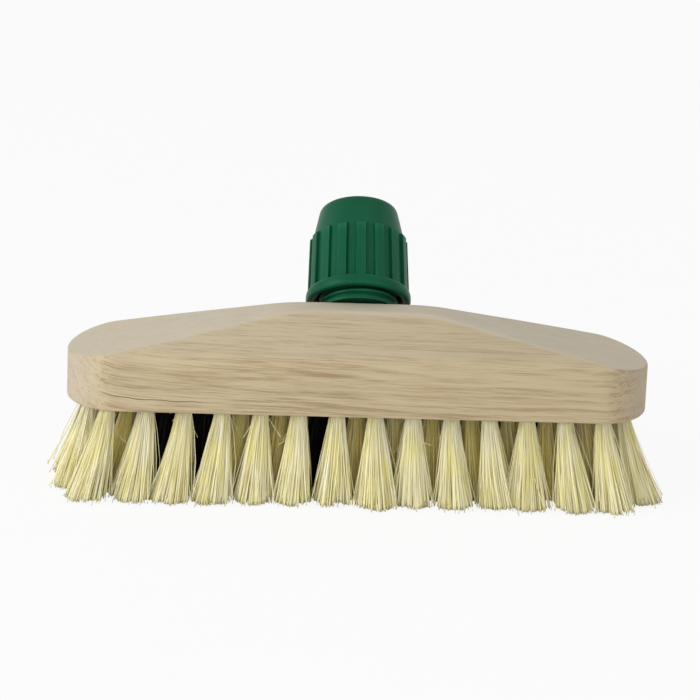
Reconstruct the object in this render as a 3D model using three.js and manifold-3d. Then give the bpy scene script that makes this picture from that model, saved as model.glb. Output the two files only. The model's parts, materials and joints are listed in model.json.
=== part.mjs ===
// Deck brush: a hipped wooden block, rows of stapled tufts under it, and a screw clamp for a round stick.
// Millimetres, +Z up, +X along the block, +Y towards the side that the clamp leans to.
// The origin is on the floor, in the middle of the footprint.

import * as THREE from 'three';
import { mergeVertices } from 'three/addons/utils/BufferGeometryUtils.js';
import Module from 'manifold-3d';

const wasm = await Module();
wasm.setup();

// Clearance between pieces that seat on each other
const GAP = 0.3;
// Overshoot of a cutter past the face that it cuts
const SPARE = 10;

// Wooden block
const BLOCK_LENGTH = 280;
const BLOCK_WIDTH = 64;
const BLOCK_HEIGHT = 46.2;
const END_HEIGHT = 23.3;
const WALL_HEIGHT = 27.3;
const CREST_LENGTH = 67.5;
const CREST_WIDTH = 18.1;
const END_ROUND = 24.5;
const FOOT_CHAMFER = 1.5;
const END_FACETS = 12;

// Tufts: free length, spacing, and the clear distance from the long walls to the outer rows
const TRIM = 44;
const TUFT_PITCH = 18.2;
const WALL_TO_ROW = 8;
const OUTER_ROW_SHIFT = 1.2;
const TUFT_ROOT_RADIUS = 3.5;
const TUFT_MARGIN = 1;
const END_LEAN = 9;
const ROW_LEAN = 6;
const LEAN_POWER = 0.7;

// Strands of one tuft: one in the middle and a ring that opens towards the floor
const RING_STRANDS = 5;
const RING_ROOT_RADIUS = 2.4;
const RING_TIP_RADIUS = 5.9;
const STRAND_ROOT_RADIUS = 0.9;
const STRAND_TIP_RADIUS = 1.25;
const STRAND_SIDES = 3;
const STRAND_ROOTING = 0.5;

// Black tufts, as [row, place along it in pitches], each with its twin across the block's centre
const BLACK_TUFTS = [[-1, -5], [-1, -4], [-1, -1], [0, -4.5]];

// Backing slices that carry the strands, let into the underside
const SLICE = 3;
const POCKET_RIM = 3;
const PLUG_FACETS = 16;

// Stick and the socket that takes it
const STICK_DIAMETER = 28;
const STICK_CLEARANCE = 0.3;
const SOCKET_WALL = 5.2;
const SOCKET_HEIGHT = 30;
const SOCKET_FLOOR = 5;
const SOCKET_CHAMFER = 1;
const COLLAR_HEIGHT = 2.5;
const NECK_HEIGHT = 1.2;
const NECK_DEPTH = 1.5;
const SPIGOT_RADIUS = 12;
const SPIGOT_HOLE_DEPTH = 16;

// Split grip ring, its taper, and the travel that tightens it
const TIGHTEN_TRAVEL = 4.5;
const GRIP_TAPER = 0.114;
const NOSE_WALL = 1.2;
const NOSE_LENGTH = 13;
const NOSE_CLEAR = 1;
const CATCH = 0.65;
const CATCH_LENGTH = 6;
const SLIT_WIDTH = 2;
const SLIT_COUNT = 6;

// Clamp nut
const NUT_FOOT = 5.5;
const NUT_WALL = 3.45;
const NUT_DRAFT = 0.85;
const NUT_CROWN = 5.9;
const NUT_LEAD_IN = 1;
const FLANGE_HEIGHT = 5.3;
const FLANGE_PROUD = 2.45;
const RIB_COUNT = 16;
const RIB_PROUD = 1.6;
const RIB_SHARE = 0.565;
const RIB_CHAMFER = 0.7;
const CONE_LENGTH = 16.4;
const CONE_SLOPE = 0.215;
const CROWN_ROUND = 3;
const CATCH_LIP = 1.7;
const MOUTH_CLEARANCE = 0.45;

// Countersunk wood screw that holds the socket
const SCREW_HEAD_RADIUS = 4.6;
const SCREW_SHANK_RADIUS = 2.25;
const SCREW_LENGTH = 32;
const SCREW_POINT = 5;
const SCREW_RIM = 0.4;
const DRIVE_SPAN = 5;
const DRIVE_WIDTH = 1.1;
const DRIVE_DEPTH = 1.6;

const ROUND_FACETS = 48;
const SCREW_FACETS = 24;
const ARC_STEPS = 2;

// The clamp stands square on the middle of the back bevel.
const TILT = Math.atan2(BLOCK_HEIGHT - WALL_HEIGHT, (BLOCK_WIDTH - CREST_WIDTH) / 2);
const CLAMP_Y = (BLOCK_WIDTH + CREST_WIDTH) / 4;
const CLAMP_Z = TRIM + (BLOCK_HEIGHT + WALL_HEIGHT) / 2;

// Fits along the clamp's axis, measured from the bevel
const BORE_RADIUS = STICK_DIAMETER / 2 + STICK_CLEARANCE;
const SOCKET_RADIUS = BORE_RADIUS + SOCKET_WALL;
const NOSE_FOOT = SOCKET_HEIGHT + NOSE_CLEAR;
const NOSE_TOP = NOSE_FOOT + NOSE_LENGTH;
const CATCH_TOP = NOSE_TOP + CATCH_LENGTH;
const NOSE_FOOT_RADIUS = BORE_RADIUS + NOSE_WALL;
const NOSE_TOP_RADIUS = NOSE_FOOT_RADIUS + NOSE_LENGTH * GRIP_TAPER;
const CATCH_RADIUS = NOSE_TOP_RADIUS + CATCH;
const NUT_TOP = CATCH_TOP + GAP + NUT_CROWN;
const NUT_BORE_RADIUS = SOCKET_RADIUS + GAP;
const NUT_RADIUS = NUT_BORE_RADIUS + NUT_WALL;
const CONE_FOOT = NUT_TOP - CONE_LENGTH;
const CONE_FOOT_RADIUS = NUT_RADIUS - NUT_DRAFT;
const CONE_TOP_RADIUS = CONE_FOOT_RADIUS - (CONE_LENGTH - CROWN_ROUND) * CONE_SLOPE;
const SCREW_TOP = SOCKET_FLOOR - GAP;

// A closed three.js shape becomes a solid whose faces point out.
function solid(geometry) {
  const bare = geometry.index ? geometry.toNonIndexed() : geometry.clone();
  bare.deleteAttribute('normal');
  bare.deleteAttribute('uv');
  const merged = mergeVertices(bare);
  const vertProperties = new Float32Array(merged.attributes.position.array);
  const triVerts = withoutSlivers(new Uint32Array(merged.index.array));
  if (signedVolume(vertProperties, triVerts) < 0) triVerts.reverse();
  return new wasm.Manifold(new wasm.Mesh({ numProp: 3, vertProperties, triVerts }));
}

function withoutSlivers(indices) {
  const kept = [];
  for (let i = 0; i < indices.length; i += 3) {
    const [a, b, c] = indices.subarray(i, i + 3);
    if (a !== b && b !== c && c !== a) kept.push(a, b, c);
  }
  return new Uint32Array(kept);
}

function signedVolume(positions, indices) {
  const corner = (i) => new THREE.Vector3().fromArray(positions, 3 * indices[i]);
  let volume = 0;
  for (let i = 0; i < indices.length; i += 3) {
    volume += corner(i).dot(corner(i + 1).cross(corner(i + 2))) / 6;
  }
  return volume;
}

function geometryOf(body) {
  const { vertProperties, triVerts } = body.getMesh();
  const geometry = new THREE.BufferGeometry();
  geometry.setAttribute('position', new THREE.BufferAttribute(vertProperties, 3));
  geometry.setIndex(new THREE.BufferAttribute(triVerts, 1));
  geometry.computeVertexNormals();
  return geometry;
}

function join(bodies) {
  return bodies.reduce((whole, body) => whole.add(body));
}

function polygon(points) {
  return new THREE.Shape(points.map(([x, y]) => new THREE.Vector2(x, y)));
}

function prism(shape, depth, curveSegments) {
  return new THREE.ExtrudeGeometry(shape, { depth, curveSegments, bevelEnabled: false });
}

// Turns an outline, given as radius and height, about the Z axis.
function revolve(outline, facets = ROUND_FACETS) {
  const points = outline.getPoints ? outline.getPoints(ARC_STEPS) : outline;
  const profile = points.map((point) => (point.isVector2 ? point : new THREE.Vector2(...point)));
  return new THREE.LatheGeometry(profile, facets).rotateX(Math.PI / 2);
}

function rod(radius, bottom, top, facets) {
  return revolve([[0, bottom], [radius, bottom], [radius, top], [0, top]], facets);
}

// The block seen from above, drawn in by an inset
function plan(inset) {
  const straight = BLOCK_LENGTH / 2 - END_ROUND;
  const halfWidth = BLOCK_WIDTH / 2 - inset;
  const quarter = Math.PI / 2;
  const shape = new THREE.Shape();
  shape.moveTo(-straight, -halfWidth);
  shape.lineTo(straight, -halfWidth);
  shape.absellipse(straight, 0, END_ROUND - inset, halfWidth, -quarter, quarter, false);
  shape.lineTo(-straight, halfWidth);
  shape.absellipse(-straight, 0, END_ROUND - inset, halfWidth, quarter, 3 * quarter, false);
  return shape;
}

function planSlab(inset, bottom, top) {
  return solid(prism(plan(inset), top - bottom, END_FACETS).translate(0, 0, bottom));
}

// A roof that falls straight from the crest through its eaves
function roof(crestHalf, eavesHalf, eavesHeight) {
  const fall = (BLOCK_HEIGHT - eavesHeight) / (eavesHalf - crestHalf);
  const reach = eavesHalf + SPARE;
  const reachHeight = TRIM + eavesHeight - SPARE * fall;
  const crest = TRIM + BLOCK_HEIGHT;
  const foot = TRIM - SPARE;
  return polygon([
    [-reach, foot], [reach, foot], [reach, reachHeight],
    [crestHalf, crest], [-crestHalf, crest], [-reach, reachHeight],
  ]);
}

function blockBlank() {
  const upright = new THREE.ExtrudeGeometry(plan(0), {
    depth: BLOCK_HEIGHT + SPARE,
    curveSegments: END_FACETS,
    bevelThickness: FOOT_CHAMFER,
    bevelSize: FOOT_CHAMFER,
    bevelOffset: -FOOT_CHAMFER,
    bevelSegments: 1,
  });
  return solid(upright.translate(0, 0, TRIM + FOOT_CHAMFER));
}

// Ramps that fall to the two ends
function rampRoof() {
  const depth = BLOCK_WIDTH + 2 * SPARE;
  const shape = roof(CREST_LENGTH / 2, BLOCK_LENGTH / 2, END_HEIGHT);
  return solid(prism(shape, depth).rotateX(Math.PI / 2).translate(0, depth / 2, 0));
}

// Bevels that fall to the two long walls
function bevelRoof() {
  const depth = BLOCK_LENGTH + 2 * SPARE;
  const shape = roof(CREST_WIDTH / 2, BLOCK_WIDTH / 2, WALL_HEIGHT);
  const alongX = new THREE.Matrix4().makeBasis(
    new THREE.Vector3(0, 1, 0), new THREE.Vector3(0, 0, 1), new THREE.Vector3(1, 0, 0));
  return solid(prism(shape, depth).applyMatrix4(alongX).translate(-depth / 2, 0, 0));
}

const clampPlace = new THREE.Matrix4().makeRotationX(-TILT).setPosition(0, CLAMP_Y, CLAMP_Z);

function onClampAxis(geometry) {
  return solid(geometry.applyMatrix4(clampPlace));
}

function woodBlock() {
  const pocketTop = TRIM + 2 * (SLICE + GAP);
  const spigotHole = rod(SPIGOT_RADIUS + GAP, -SPIGOT_HOLE_DEPTH, SPARE);
  return blockBlank()
    .intersect(rampRoof())
    .intersect(bevelRoof())
    .subtract(planSlab(POCKET_RIM, TRIM - SPARE, pocketTop))
    .subtract(onClampAxis(spigotHole))
    .subtract(onClampAxis(screwHole()));
}

// Tufts stand in five rows; every second row is set over by half a pitch, and the outer two a little more.
const ROWS = [-2, -1, 0, 1, 2];
const ROW_PITCH = (BLOCK_WIDTH / 2 - WALL_TO_ROW) / 2;

function tuftsInRow(row) {
  const inset = POCKET_RIM + GAP;
  const acrossShare = (row * ROW_PITCH) / (BLOCK_WIDTH / 2 - inset);
  const endReach = (END_ROUND - inset) * Math.sqrt(1 - acrossShare ** 2);
  const reach = BLOCK_LENGTH / 2 - END_ROUND + endReach - TUFT_ROOT_RADIUS - TUFT_MARGIN;
  const first = row % 2 === 0 ? 0.5 : 0;
  const last = Math.floor(reach / TUFT_PITCH - first) + first;
  const tufts = [];
  for (let place = -last; place <= last; place += 1) {
    tufts.push({ row, place, black: isBlack(row, place) });
  }
  return tufts;
}

function isBlack(row, place) {
  return BLACK_TUFTS.some(([r, p]) => (row === r && place === p) || (row === -r && place === -p));
}

const ALL_TUFTS = ROWS.flatMap(tuftsInRow);
const HALF_ROW = Math.max(...ALL_TUFTS.map((tuft) => tuft.place)) * TUFT_PITCH;

function tuftRoot({ row, place }) {
  const shift = Math.abs(row) === Math.max(...ROWS) ? Math.sign(row) * OUTER_ROW_SHIFT : 0;
  return new THREE.Vector3(place * TUFT_PITCH + shift, row * ROW_PITCH, TRIM);
}

// Tips lean out towards the nearer end and the nearer long wall.
function tuftTip(tuft) {
  const root = tuftRoot(tuft);
  const share = (Math.abs(tuft.place) * TUFT_PITCH) / HALF_ROW;
  const leanX = Math.sign(tuft.place) * END_LEAN * share ** LEAN_POWER;
  const leanY = (ROW_LEAN * tuft.row) / Math.max(...ROWS);
  return new THREE.Vector3(root.x + leanX, root.y + leanY, 0);
}

function strand(root, tip) {
  const height = root.z - tip.z;
  const lean = new THREE.Vector3().subVectors(root, tip).divideScalar(height);
  const shear = new THREE.Matrix4().makeShear(0, 0, 0, 0, lean.x, lean.y);
  const shape = new THREE.CylinderGeometry(STRAND_ROOT_RADIUS, STRAND_TIP_RADIUS, height, STRAND_SIDES, 1);
  const middle = new THREE.Vector3().addVectors(root, tip).divideScalar(2);
  shape.rotateX(Math.PI / 2).applyMatrix4(shear);
  return solid(shape.translate(middle.x, middle.y, middle.z));
}

function tuftStrands(tuft) {
  const root = tuftRoot(tuft);
  const tip = tuftTip(tuft);
  root.z += STRAND_ROOTING;
  const strands = [strand(root, tip)];
  const start = root.x < 0 ? Math.PI : 0;
  for (let i = 0; i < RING_STRANDS; i += 1) {
    const angle = start + (2 * Math.PI * i) / RING_STRANDS;
    const out = new THREE.Vector3(Math.cos(angle), Math.sin(angle), 0);
    const ringRoot = root.clone().addScaledVector(out, RING_ROOT_RADIUS);
    const ringTip = tip.clone().addScaledVector(out, RING_TIP_RADIUS);
    strands.push(strand(ringRoot, ringTip));
  }
  return strands;
}

function tuftPlug(tuft, radius, bottom, top) {
  const root = tuftRoot(tuft);
  return solid(rod(radius, bottom, top, PLUG_FACETS).translate(root.x, root.y, 0));
}

// A strip of the backing under the rows from one to another, with holes for the black tufts
function backingStrip(firstRow, lastRow) {
  const outerRow = Math.max(...ROWS);
  const edge = (row, side) => (row + side / 2) * ROW_PITCH - (side * GAP) / 2;
  const low = firstRow === -outerRow ? -BLOCK_WIDTH : edge(firstRow, -1);
  const high = lastRow === outerRow ? BLOCK_WIDTH : edge(lastRow, 1);
  const strip = new THREE.BoxGeometry(BLOCK_LENGTH, high - low, BLOCK_HEIGHT);
  strip.translate(0, (low + high) / 2, TRIM);
  const slab = planSlab(POCKET_RIM + GAP, TRIM, TRIM + SLICE).intersect(solid(strip));
  return ALL_TUFTS
    .filter((tuft) => tuft.black && tuft.row >= firstRow && tuft.row <= lastRow)
    .map((tuft) => tuftPlug(tuft, TUFT_ROOT_RADIUS + GAP, TRIM - SPARE, TRIM + SPARE))
    .reduce((backing, hole) => backing.subtract(hole), slab);
}

function paleBristles(firstRow, lastRow) {
  const tufts = ALL_TUFTS.filter((tuft) => !tuft.black && tuft.row >= firstRow && tuft.row <= lastRow);
  return join([backingStrip(firstRow, lastRow), ...tufts.flatMap(tuftStrands)]);
}

// Black tufts hang from their own slice above the pale ones and come down through the holes.
function blackBristles() {
  const tufts = ALL_TUFTS.filter((tuft) => tuft.black);
  const bottom = TRIM + SLICE + GAP;
  const slab = planSlab(POCKET_RIM + GAP, bottom, bottom + SLICE);
  const plugs = tufts.map((tuft) => tuftPlug(tuft, TUFT_ROOT_RADIUS, TRIM, bottom + SLICE / 2));
  return join([slab, ...plugs, ...tufts.flatMap(tuftStrands)]);
}

// Screw along the clamp's axis; the same outline with a clearance cuts its hole.
function screwShape(clearance, top) {
  const head = SCREW_HEAD_RADIUS + clearance;
  const shank = SCREW_SHANK_RADIUS + clearance;
  const rim = SCREW_TOP - SCREW_RIM;
  const under = rim - (SCREW_HEAD_RADIUS - SCREW_SHANK_RADIUS);
  const point = SCREW_TOP - SCREW_LENGTH - clearance;
  const outline = [
    [0, point], [shank, point + SCREW_POINT], [shank, under], [head, rim], [head, top], [0, top],
  ];
  return revolve(outline, SCREW_FACETS);
}

function screwHole() {
  return screwShape(GAP, SOCKET_FLOOR + SPARE);
}

function fixingScrew() {
  const blade = new THREE.BoxGeometry(DRIVE_SPAN, DRIVE_WIDTH, 2 * DRIVE_DEPTH);
  const across = blade.clone().rotateZ(Math.PI / 2).translate(0, 0, SCREW_TOP);
  return solid(screwShape(0, SCREW_TOP))
    .subtract(solid(blade.translate(0, 0, SCREW_TOP)))
    .subtract(solid(across));
}

// Socket: a spigot in the block, a collar on the bevel, and the barrel whose outside carries the thread
function threadedSocket() {
  const neckFoot = GAP + COLLAR_HEIGHT;
  const neckTop = neckFoot + NECK_HEIGHT;
  const mouthFoot = SOCKET_HEIGHT - TIGHTEN_TRAVEL;
  const mouthFootRadius = NOSE_FOOT_RADIUS + GAP;
  const mouthRadius = mouthFootRadius + TIGHTEN_TRAVEL * GRIP_TAPER;
  const spigotFoot = GAP - SPIGOT_HOLE_DEPTH;
  const barrel = revolve([
    [0, spigotFoot], [SPIGOT_RADIUS, spigotFoot], [SPIGOT_RADIUS, GAP], [SOCKET_RADIUS, GAP],
    [SOCKET_RADIUS, neckFoot], [SOCKET_RADIUS - NECK_DEPTH, neckFoot],
    [SOCKET_RADIUS - NECK_DEPTH, neckTop], [SOCKET_RADIUS, neckTop],
    [SOCKET_RADIUS, SOCKET_HEIGHT - SOCKET_CHAMFER], [SOCKET_RADIUS - SOCKET_CHAMFER, SOCKET_HEIGHT],
    [mouthRadius, SOCKET_HEIGHT], [mouthFootRadius, mouthFoot], [BORE_RADIUS, mouthFoot],
    [BORE_RADIUS, SOCKET_FLOOR], [0, SOCKET_FLOOR],
  ]);
  return solid(barrel).subtract(solid(screwHole()));
}

// Grip ring: a tapered nose under a catch, slit all through once and part of the way elsewhere
function gripCollet() {
  const body = solid(revolve([
    [BORE_RADIUS, NOSE_FOOT], [NOSE_FOOT_RADIUS, NOSE_FOOT], [NOSE_TOP_RADIUS, NOSE_TOP],
    [CATCH_RADIUS, NOSE_TOP], [CATCH_RADIUS, CATCH_TOP], [BORE_RADIUS, CATCH_TOP], [BORE_RADIUS, NOSE_FOOT],
  ]));
  const reach = CATCH_RADIUS + SPARE;
  const slits = [];
  for (let i = 0; i < SLIT_COUNT; i += 1) {
    const top = i === 0 ? CATCH_TOP + SPARE : NOSE_TOP;
    const bottom = NOSE_FOOT - SPARE;
    const slit = new THREE.BoxGeometry(reach, SLIT_WIDTH, top - bottom);
    slit.translate(reach / 2, 0, (top + bottom) / 2).rotateZ((2 * Math.PI * i) / SLIT_COUNT);
    slits.push(solid(slit));
  }
  return slits.reduce((collet, slit) => collet.subtract(slit), body);
}

// Ring of grip ribs, drawn in towards the cone and chamfered at their upper ends
function ribs() {
  const bottom = NUT_FOOT + FLANGE_HEIGHT / 2;
  const footRadius = NUT_RADIUS + RIB_PROUD;
  const topRadius = CONE_FOOT_RADIUS + RIB_PROUD;
  const shape = new THREE.Shape();
  const pitch = (2 * Math.PI) / RIB_COUNT;
  for (let i = 0; i < RIB_COUNT; i += 1) {
    const start = (i - RIB_SHARE / 2) * pitch;
    const end = (i + RIB_SHARE / 2) * pitch;
    shape.absarc(0, 0, footRadius, start, end, false);
    shape.absarc(0, 0, NUT_RADIUS - NUT_WALL / 2, end, start + pitch, false);
  }
  const upright = prism(shape, CONE_FOOT - bottom, 1).translate(0, 0, bottom);
  const envelope = revolve([
    [0, bottom], [footRadius, bottom], [topRadius, CONE_FOOT - RIB_CHAMFER],
    [topRadius - RIB_CHAMFER, CONE_FOOT], [0, CONE_FOOT],
  ]);
  return solid(upright).intersect(solid(envelope));
}

function nutOutside() {
  const quarter = Math.PI / 2;
  const roundFoot = NUT_FOOT + FLANGE_PROUD;
  const roundTop = NUT_FOOT + FLANGE_HEIGHT - FLANGE_PROUD;
  const crownRadius = CONE_TOP_RADIUS - CROWN_ROUND;
  const outline = new THREE.Path();
  outline.moveTo(0, NUT_FOOT);
  outline.lineTo(NUT_RADIUS, NUT_FOOT);
  outline.absarc(NUT_RADIUS, roundFoot, FLANGE_PROUD, -quarter, 0, false);
  outline.absarc(NUT_RADIUS, roundTop, FLANGE_PROUD, 0, quarter, false);
  outline.lineTo(CONE_FOOT_RADIUS, CONE_FOOT);
  outline.absarc(crownRadius, NUT_TOP - CROWN_ROUND, CROWN_ROUND, 0, quarter, false);
  outline.lineTo(0, NUT_TOP);
  return solid(revolve(outline));
}

// Inside of the nut: thread bore, the lip that pulls the grip ring back, its groove, and the stick's mouth
function nutInside() {
  const lipTop = NOSE_TOP - GAP;
  const lipFoot = lipTop - CATCH_LIP;
  const lipRadius = NOSE_TOP_RADIUS + GAP;
  const grooveRadius = CATCH_RADIUS + GAP;
  const grooveTop = CATCH_TOP + GAP;
  const mouthRadius = BORE_RADIUS + MOUTH_CLEARANCE;
  return solid(revolve([
    [0, NUT_FOOT - SPARE], [NUT_BORE_RADIUS + NUT_LEAD_IN, NUT_FOOT - SPARE],
    [NUT_BORE_RADIUS + NUT_LEAD_IN, NUT_FOOT], [NUT_BORE_RADIUS, NUT_FOOT + NUT_LEAD_IN],
    [NUT_BORE_RADIUS, lipFoot], [lipRadius, lipFoot], [lipRadius, lipTop],
    [grooveRadius, lipTop], [grooveRadius, grooveTop], [mouthRadius, grooveTop],
    [mouthRadius, NUT_TOP + SPARE], [0, NUT_TOP + SPARE],
  ]));
}

function clampNut() {
  return nutOutside().add(ribs()).subtract(nutInside());
}

const pineWood = { color: 0xd9c39c, roughness: 0.75, metalness: 0 };
const paleFibre = { color: 0xe2d3ae, roughness: 0.85, metalness: 0 };
const blackFibre = { color: 0x1c1a19, roughness: 0.7, metalness: 0 };
const greenPlastic = { color: 0x1f8a55, roughness: 0.45, metalness: 0 };
const zincSteel = { color: 0xb8b8b0, roughness: 0.35, metalness: 1 };

function piece(name, body, look) {
  const mesh = new THREE.Mesh(geometryOf(body), new THREE.MeshStandardMaterial(look));
  mesh.name = name;
  return mesh;
}

const head = new THREE.Group();
head.add(
  piece('wood_block', woodBlock(), pineWood),
  piece('front_row_bristles', paleBristles(-2, -2), paleFibre),
  piece('inner_bristles', paleBristles(-1, 1), paleFibre),
  piece('rear_row_bristles', paleBristles(2, 2), paleFibre),
  piece('black_bristles', blackBristles(), blackFibre),
);

const clamp = new THREE.Group();
clamp.applyMatrix4(clampPlace);
clamp.add(
  piece('threaded_socket', threadedSocket(), greenPlastic),
  piece('fixing_screw', fixingScrew(), zincSteel),
  piece('grip_collet', gripCollet(), greenPlastic),
  piece('clamp_nut', clampNut(), greenPlastic),
);

const deckBrush = new THREE.Group();
deckBrush.add(head, clamp);

// The clamp overhangs the back, so the whole is moved to stand over its own middle.
const middle = new THREE.Box3().setFromObject(deckBrush, true).getCenter(new THREE.Vector3());
deckBrush.position.set(-middle.x, -middle.y, 0);

export default deckBrush;
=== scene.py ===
"""Deck brush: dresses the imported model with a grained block, fibre tufts and a moulded screw clamp."""

import json
import math
from functools import reduce

import bmesh
import bpy
import numpy as np
from mathutils import Matrix, Vector


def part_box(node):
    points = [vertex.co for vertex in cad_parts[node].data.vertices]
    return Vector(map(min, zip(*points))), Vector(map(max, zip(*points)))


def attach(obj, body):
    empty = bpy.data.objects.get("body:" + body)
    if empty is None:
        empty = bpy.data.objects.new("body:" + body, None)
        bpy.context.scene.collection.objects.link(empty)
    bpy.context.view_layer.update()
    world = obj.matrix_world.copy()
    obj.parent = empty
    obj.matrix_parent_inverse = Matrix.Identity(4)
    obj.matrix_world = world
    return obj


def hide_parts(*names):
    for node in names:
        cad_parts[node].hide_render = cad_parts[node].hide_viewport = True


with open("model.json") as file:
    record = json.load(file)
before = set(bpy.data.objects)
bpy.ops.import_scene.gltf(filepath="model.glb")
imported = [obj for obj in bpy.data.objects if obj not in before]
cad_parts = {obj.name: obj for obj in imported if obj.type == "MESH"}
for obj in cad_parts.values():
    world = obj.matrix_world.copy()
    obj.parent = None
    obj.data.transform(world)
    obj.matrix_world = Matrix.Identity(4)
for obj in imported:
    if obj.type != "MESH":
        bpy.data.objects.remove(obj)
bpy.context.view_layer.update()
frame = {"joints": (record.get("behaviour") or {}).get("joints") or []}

bl_info = {
    "name": "Deck brush",
    "version": (1, 0, 0),
    "blender": (4, 5, 0),
    "location": "View3D > Sidebar > Brush",
    "description": "Builds a wooden deck brush with fibre tufts and a screw clamp for a stick",
    "category": "Object",
}

MM = 0.001

# Clearance between pieces that fit together, in millimetres
GAP = 0.3

BLOCK_LOW, BLOCK_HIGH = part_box("wood_block")
BLOCK_SIZE = (BLOCK_HIGH - BLOCK_LOW) / MM
BLOCK_PLACE = Matrix.Translation((0, (BLOCK_LOW.y + BLOCK_HIGH.y) / 2, BLOCK_LOW.z))
TRIM = BLOCK_LOW.z / MM

NUT_JOINT = next(joint for joint in frame["joints"] if joint["name"] == "nut_spin")
CLAMP_AXIS = Vector(NUT_JOINT["axis"])
CLAMP_TILT = math.atan2(CLAMP_AXIS.y, CLAMP_AXIS.z)


# Settings

def size(name, text, millimetres):
    """A length that the panel shows in scene units."""
    return bpy.props.FloatProperty(
        name=name, description=text, default=millimetres * MM, precision=5,
        subtype="DISTANCE", unit="LENGTH")


def tint(name, text, colour):
    """A colour swatch."""
    return bpy.props.FloatVectorProperty(
        name=name, description=text, default=colour, size=4, min=0, max=1, subtype="COLOR")


def turn(name, text, degrees):
    """An angle that the panel shows in degrees."""
    return bpy.props.FloatProperty(
        name=name, description=text, default=math.radians(degrees), subtype="ANGLE", unit="ROTATION")


def number(name, text, value):
    """A plain factor."""
    return bpy.props.FloatProperty(name=name, description=text, default=value)


def count(name, text, value):
    """A whole number of like things."""
    return bpy.props.IntProperty(name=name, description=text, default=value, min=1)


class BrushBlockSettings(bpy.types.PropertyGroup):
    """Hipped wooden block."""

    crest_length: size("Crest length", "Length of the flat on top", 67.5)
    crest_width: size("Crest width", "Width of the flat on top", 18.1)
    wall_height: size("Wall height", "Height of the upright long walls", 27.3)
    end_height: size("End height", "Height of the block at its two ends", 23.3)
    end_round: size("End round", "How far the rounded ends reach along the block", 24.5)
    hip_ease: size("Hip ease", "Depth of the rounding low on the hips of the roof", 0.8)
    crest_ease: size("Crest ease", "Depth of the rounding along the edges of the crest", 2.4)
    eaves_ease: size("Eaves ease", "Rounding between the long walls and their bevels", 5.0)
    end_ease: size("End ease", "Rounding between the ends and their ramps", 1.3)
    foot_ease: size("Foot ease", "Rounding of the lower edge", 1.2)
    mesh_step: size("Mesh step", "Spacing of the mesh over the block", 0.9)
    pale_wood: tint("Pale wood", "Early wood between the grain lines", (0.61, 0.505, 0.327, 1))
    dark_wood: tint("Dark wood", "Late wood in the grain lines", (0.37, 0.265, 0.14, 1))
    sanded_wood: tint("Sanded wood", "Greyer wood, sanded across the grain", (0.69, 0.625, 0.50, 1))
    end_wood: tint("End wood", "Wood at the two ends, cut across the grain", (0.565, 0.495, 0.44, 1))


class BrushTuftSettings(bpy.types.PropertyGroup):
    """Fibre tufts in five rows."""

    pitch: size("Tuft pitch", "Distance between tufts along a row", 18.2)
    wall_to_row: size("Wall to row", "Distance from a long wall to the outer row", 8.0)
    outer_shift: size("Outer row shift", "How far the outer rows are set over, each its own way", 1.2)
    hole_radius: size("Hole radius", "Radius of a tuft hole", 3.6)
    hole_depth: size("Hole depth", "Depth of a tuft hole", 12.0)
    root_radius: size("Root radius", "Radius of a tuft where it leaves the block", 3.4)
    tip_radius: size("Tip radius", "Radius that most fibres of a tuft open to", 8.2)
    end_lean: size("End lean", "How far the last tufts lean out along the block", 7.8)
    row_lean: size("Row lean", "How far the outer rows lean out across the block", 6.0)
    fibre_radius: size("Fibre radius", "Radius of one fibre", 0.275)
    fibres: count("Fibres", "Fibres in one tuft", 515)
    strays: count("Strays", "Loose fibres at one tuft", 18)
    broken: count("Broken fibres", "Broken fibres that stick out of one tuft", 3)
    pale_fibre: tint("Pale fibre", "Colour of the palest fibres", (0.97, 0.94, 0.72, 1))
    warm_fibre: tint("Warm fibre", "Colour of most fibres", (0.96, 0.89, 0.56, 1))
    yellow_fibre: tint("Yellow fibre", "Colour that some pale fibres turn to", (0.94, 0.87, 0.36, 1))
    brown_fibre: tint("Brown fibre", "Colour of the darkest pale fibres", (0.83, 0.655, 0.12, 1))
    black_fibre: tint("Black fibre", "Colour of the dyed fibres", (0.004, 0.0038, 0.0035, 1))


class BrushClampSettings(bpy.types.PropertyGroup):
    """Screw clamp for a round stick."""

    stick_diameter: size("Stick diameter", "Round stick that the clamp takes", 28.0)
    thread_lead: size("Thread lead", "Advance of the nut in one turn", 4.0)
    thread_depth: size("Thread depth", "Height of the thread ridge", 1.5)
    ribs: count("Ribs", "Grip ribs around the nut", 16)
    rib_height: size("Rib height", "How far the ribs stand out", 1.6)
    green: tint("Green", "Colour of the moulded plastic", (0.004, 0.088, 0.038, 1))
    zinc: tint("Zinc", "Colour of the plated screw", (0.62, 0.62, 0.60, 1))
    wire: tint("Wire", "Colour of the tuft wire", (0.55, 0.54, 0.52, 1))


class BrushStageSettings(bpy.types.PropertyGroup):
    """Camera, lamps and floor."""

    azimuth: turn("Azimuth", "Camera's turn round the brush", -2.83)
    elevation: turn("Elevation", "Camera's height above the horizon", 15.46)
    roll: turn("Roll", "Camera's turn about its own axis", 2.28)
    distance: size("Distance", "From the camera to the block", 1582.0)
    lens: number("Lens", "Focal length in millimetres on a sensor of 36 mm", 168.6)
    aim_height: size("Aim height", "Height of the aimed point over the block's underside", 23.0)
    aim_right: number("Aim right", "Pixels from the picture's middle to the aimed point", 8.73)
    aim_down: number("Aim down", "Pixels from the picture's middle down to the aimed point", 3.54)
    key_power: number("Key power", "Power of the large lamp on the left, in watts", 26.5)
    fill_power: number("Fill power", "Power of the weak lamp at the front right, in watts", 6.5)
    sky: number("Sky", "Strength of the even light all round", 0.54)


def settings(context):
    """The four groups of settings of this scene."""
    scene = context.scene
    return scene.brush_block, scene.brush_tufts, scene.brush_clamp, scene.brush_stage


def mm(value):
    """A setting in millimetres."""
    return value / MM


# Shapes, in millimetres, as (vertices, faces)

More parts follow.
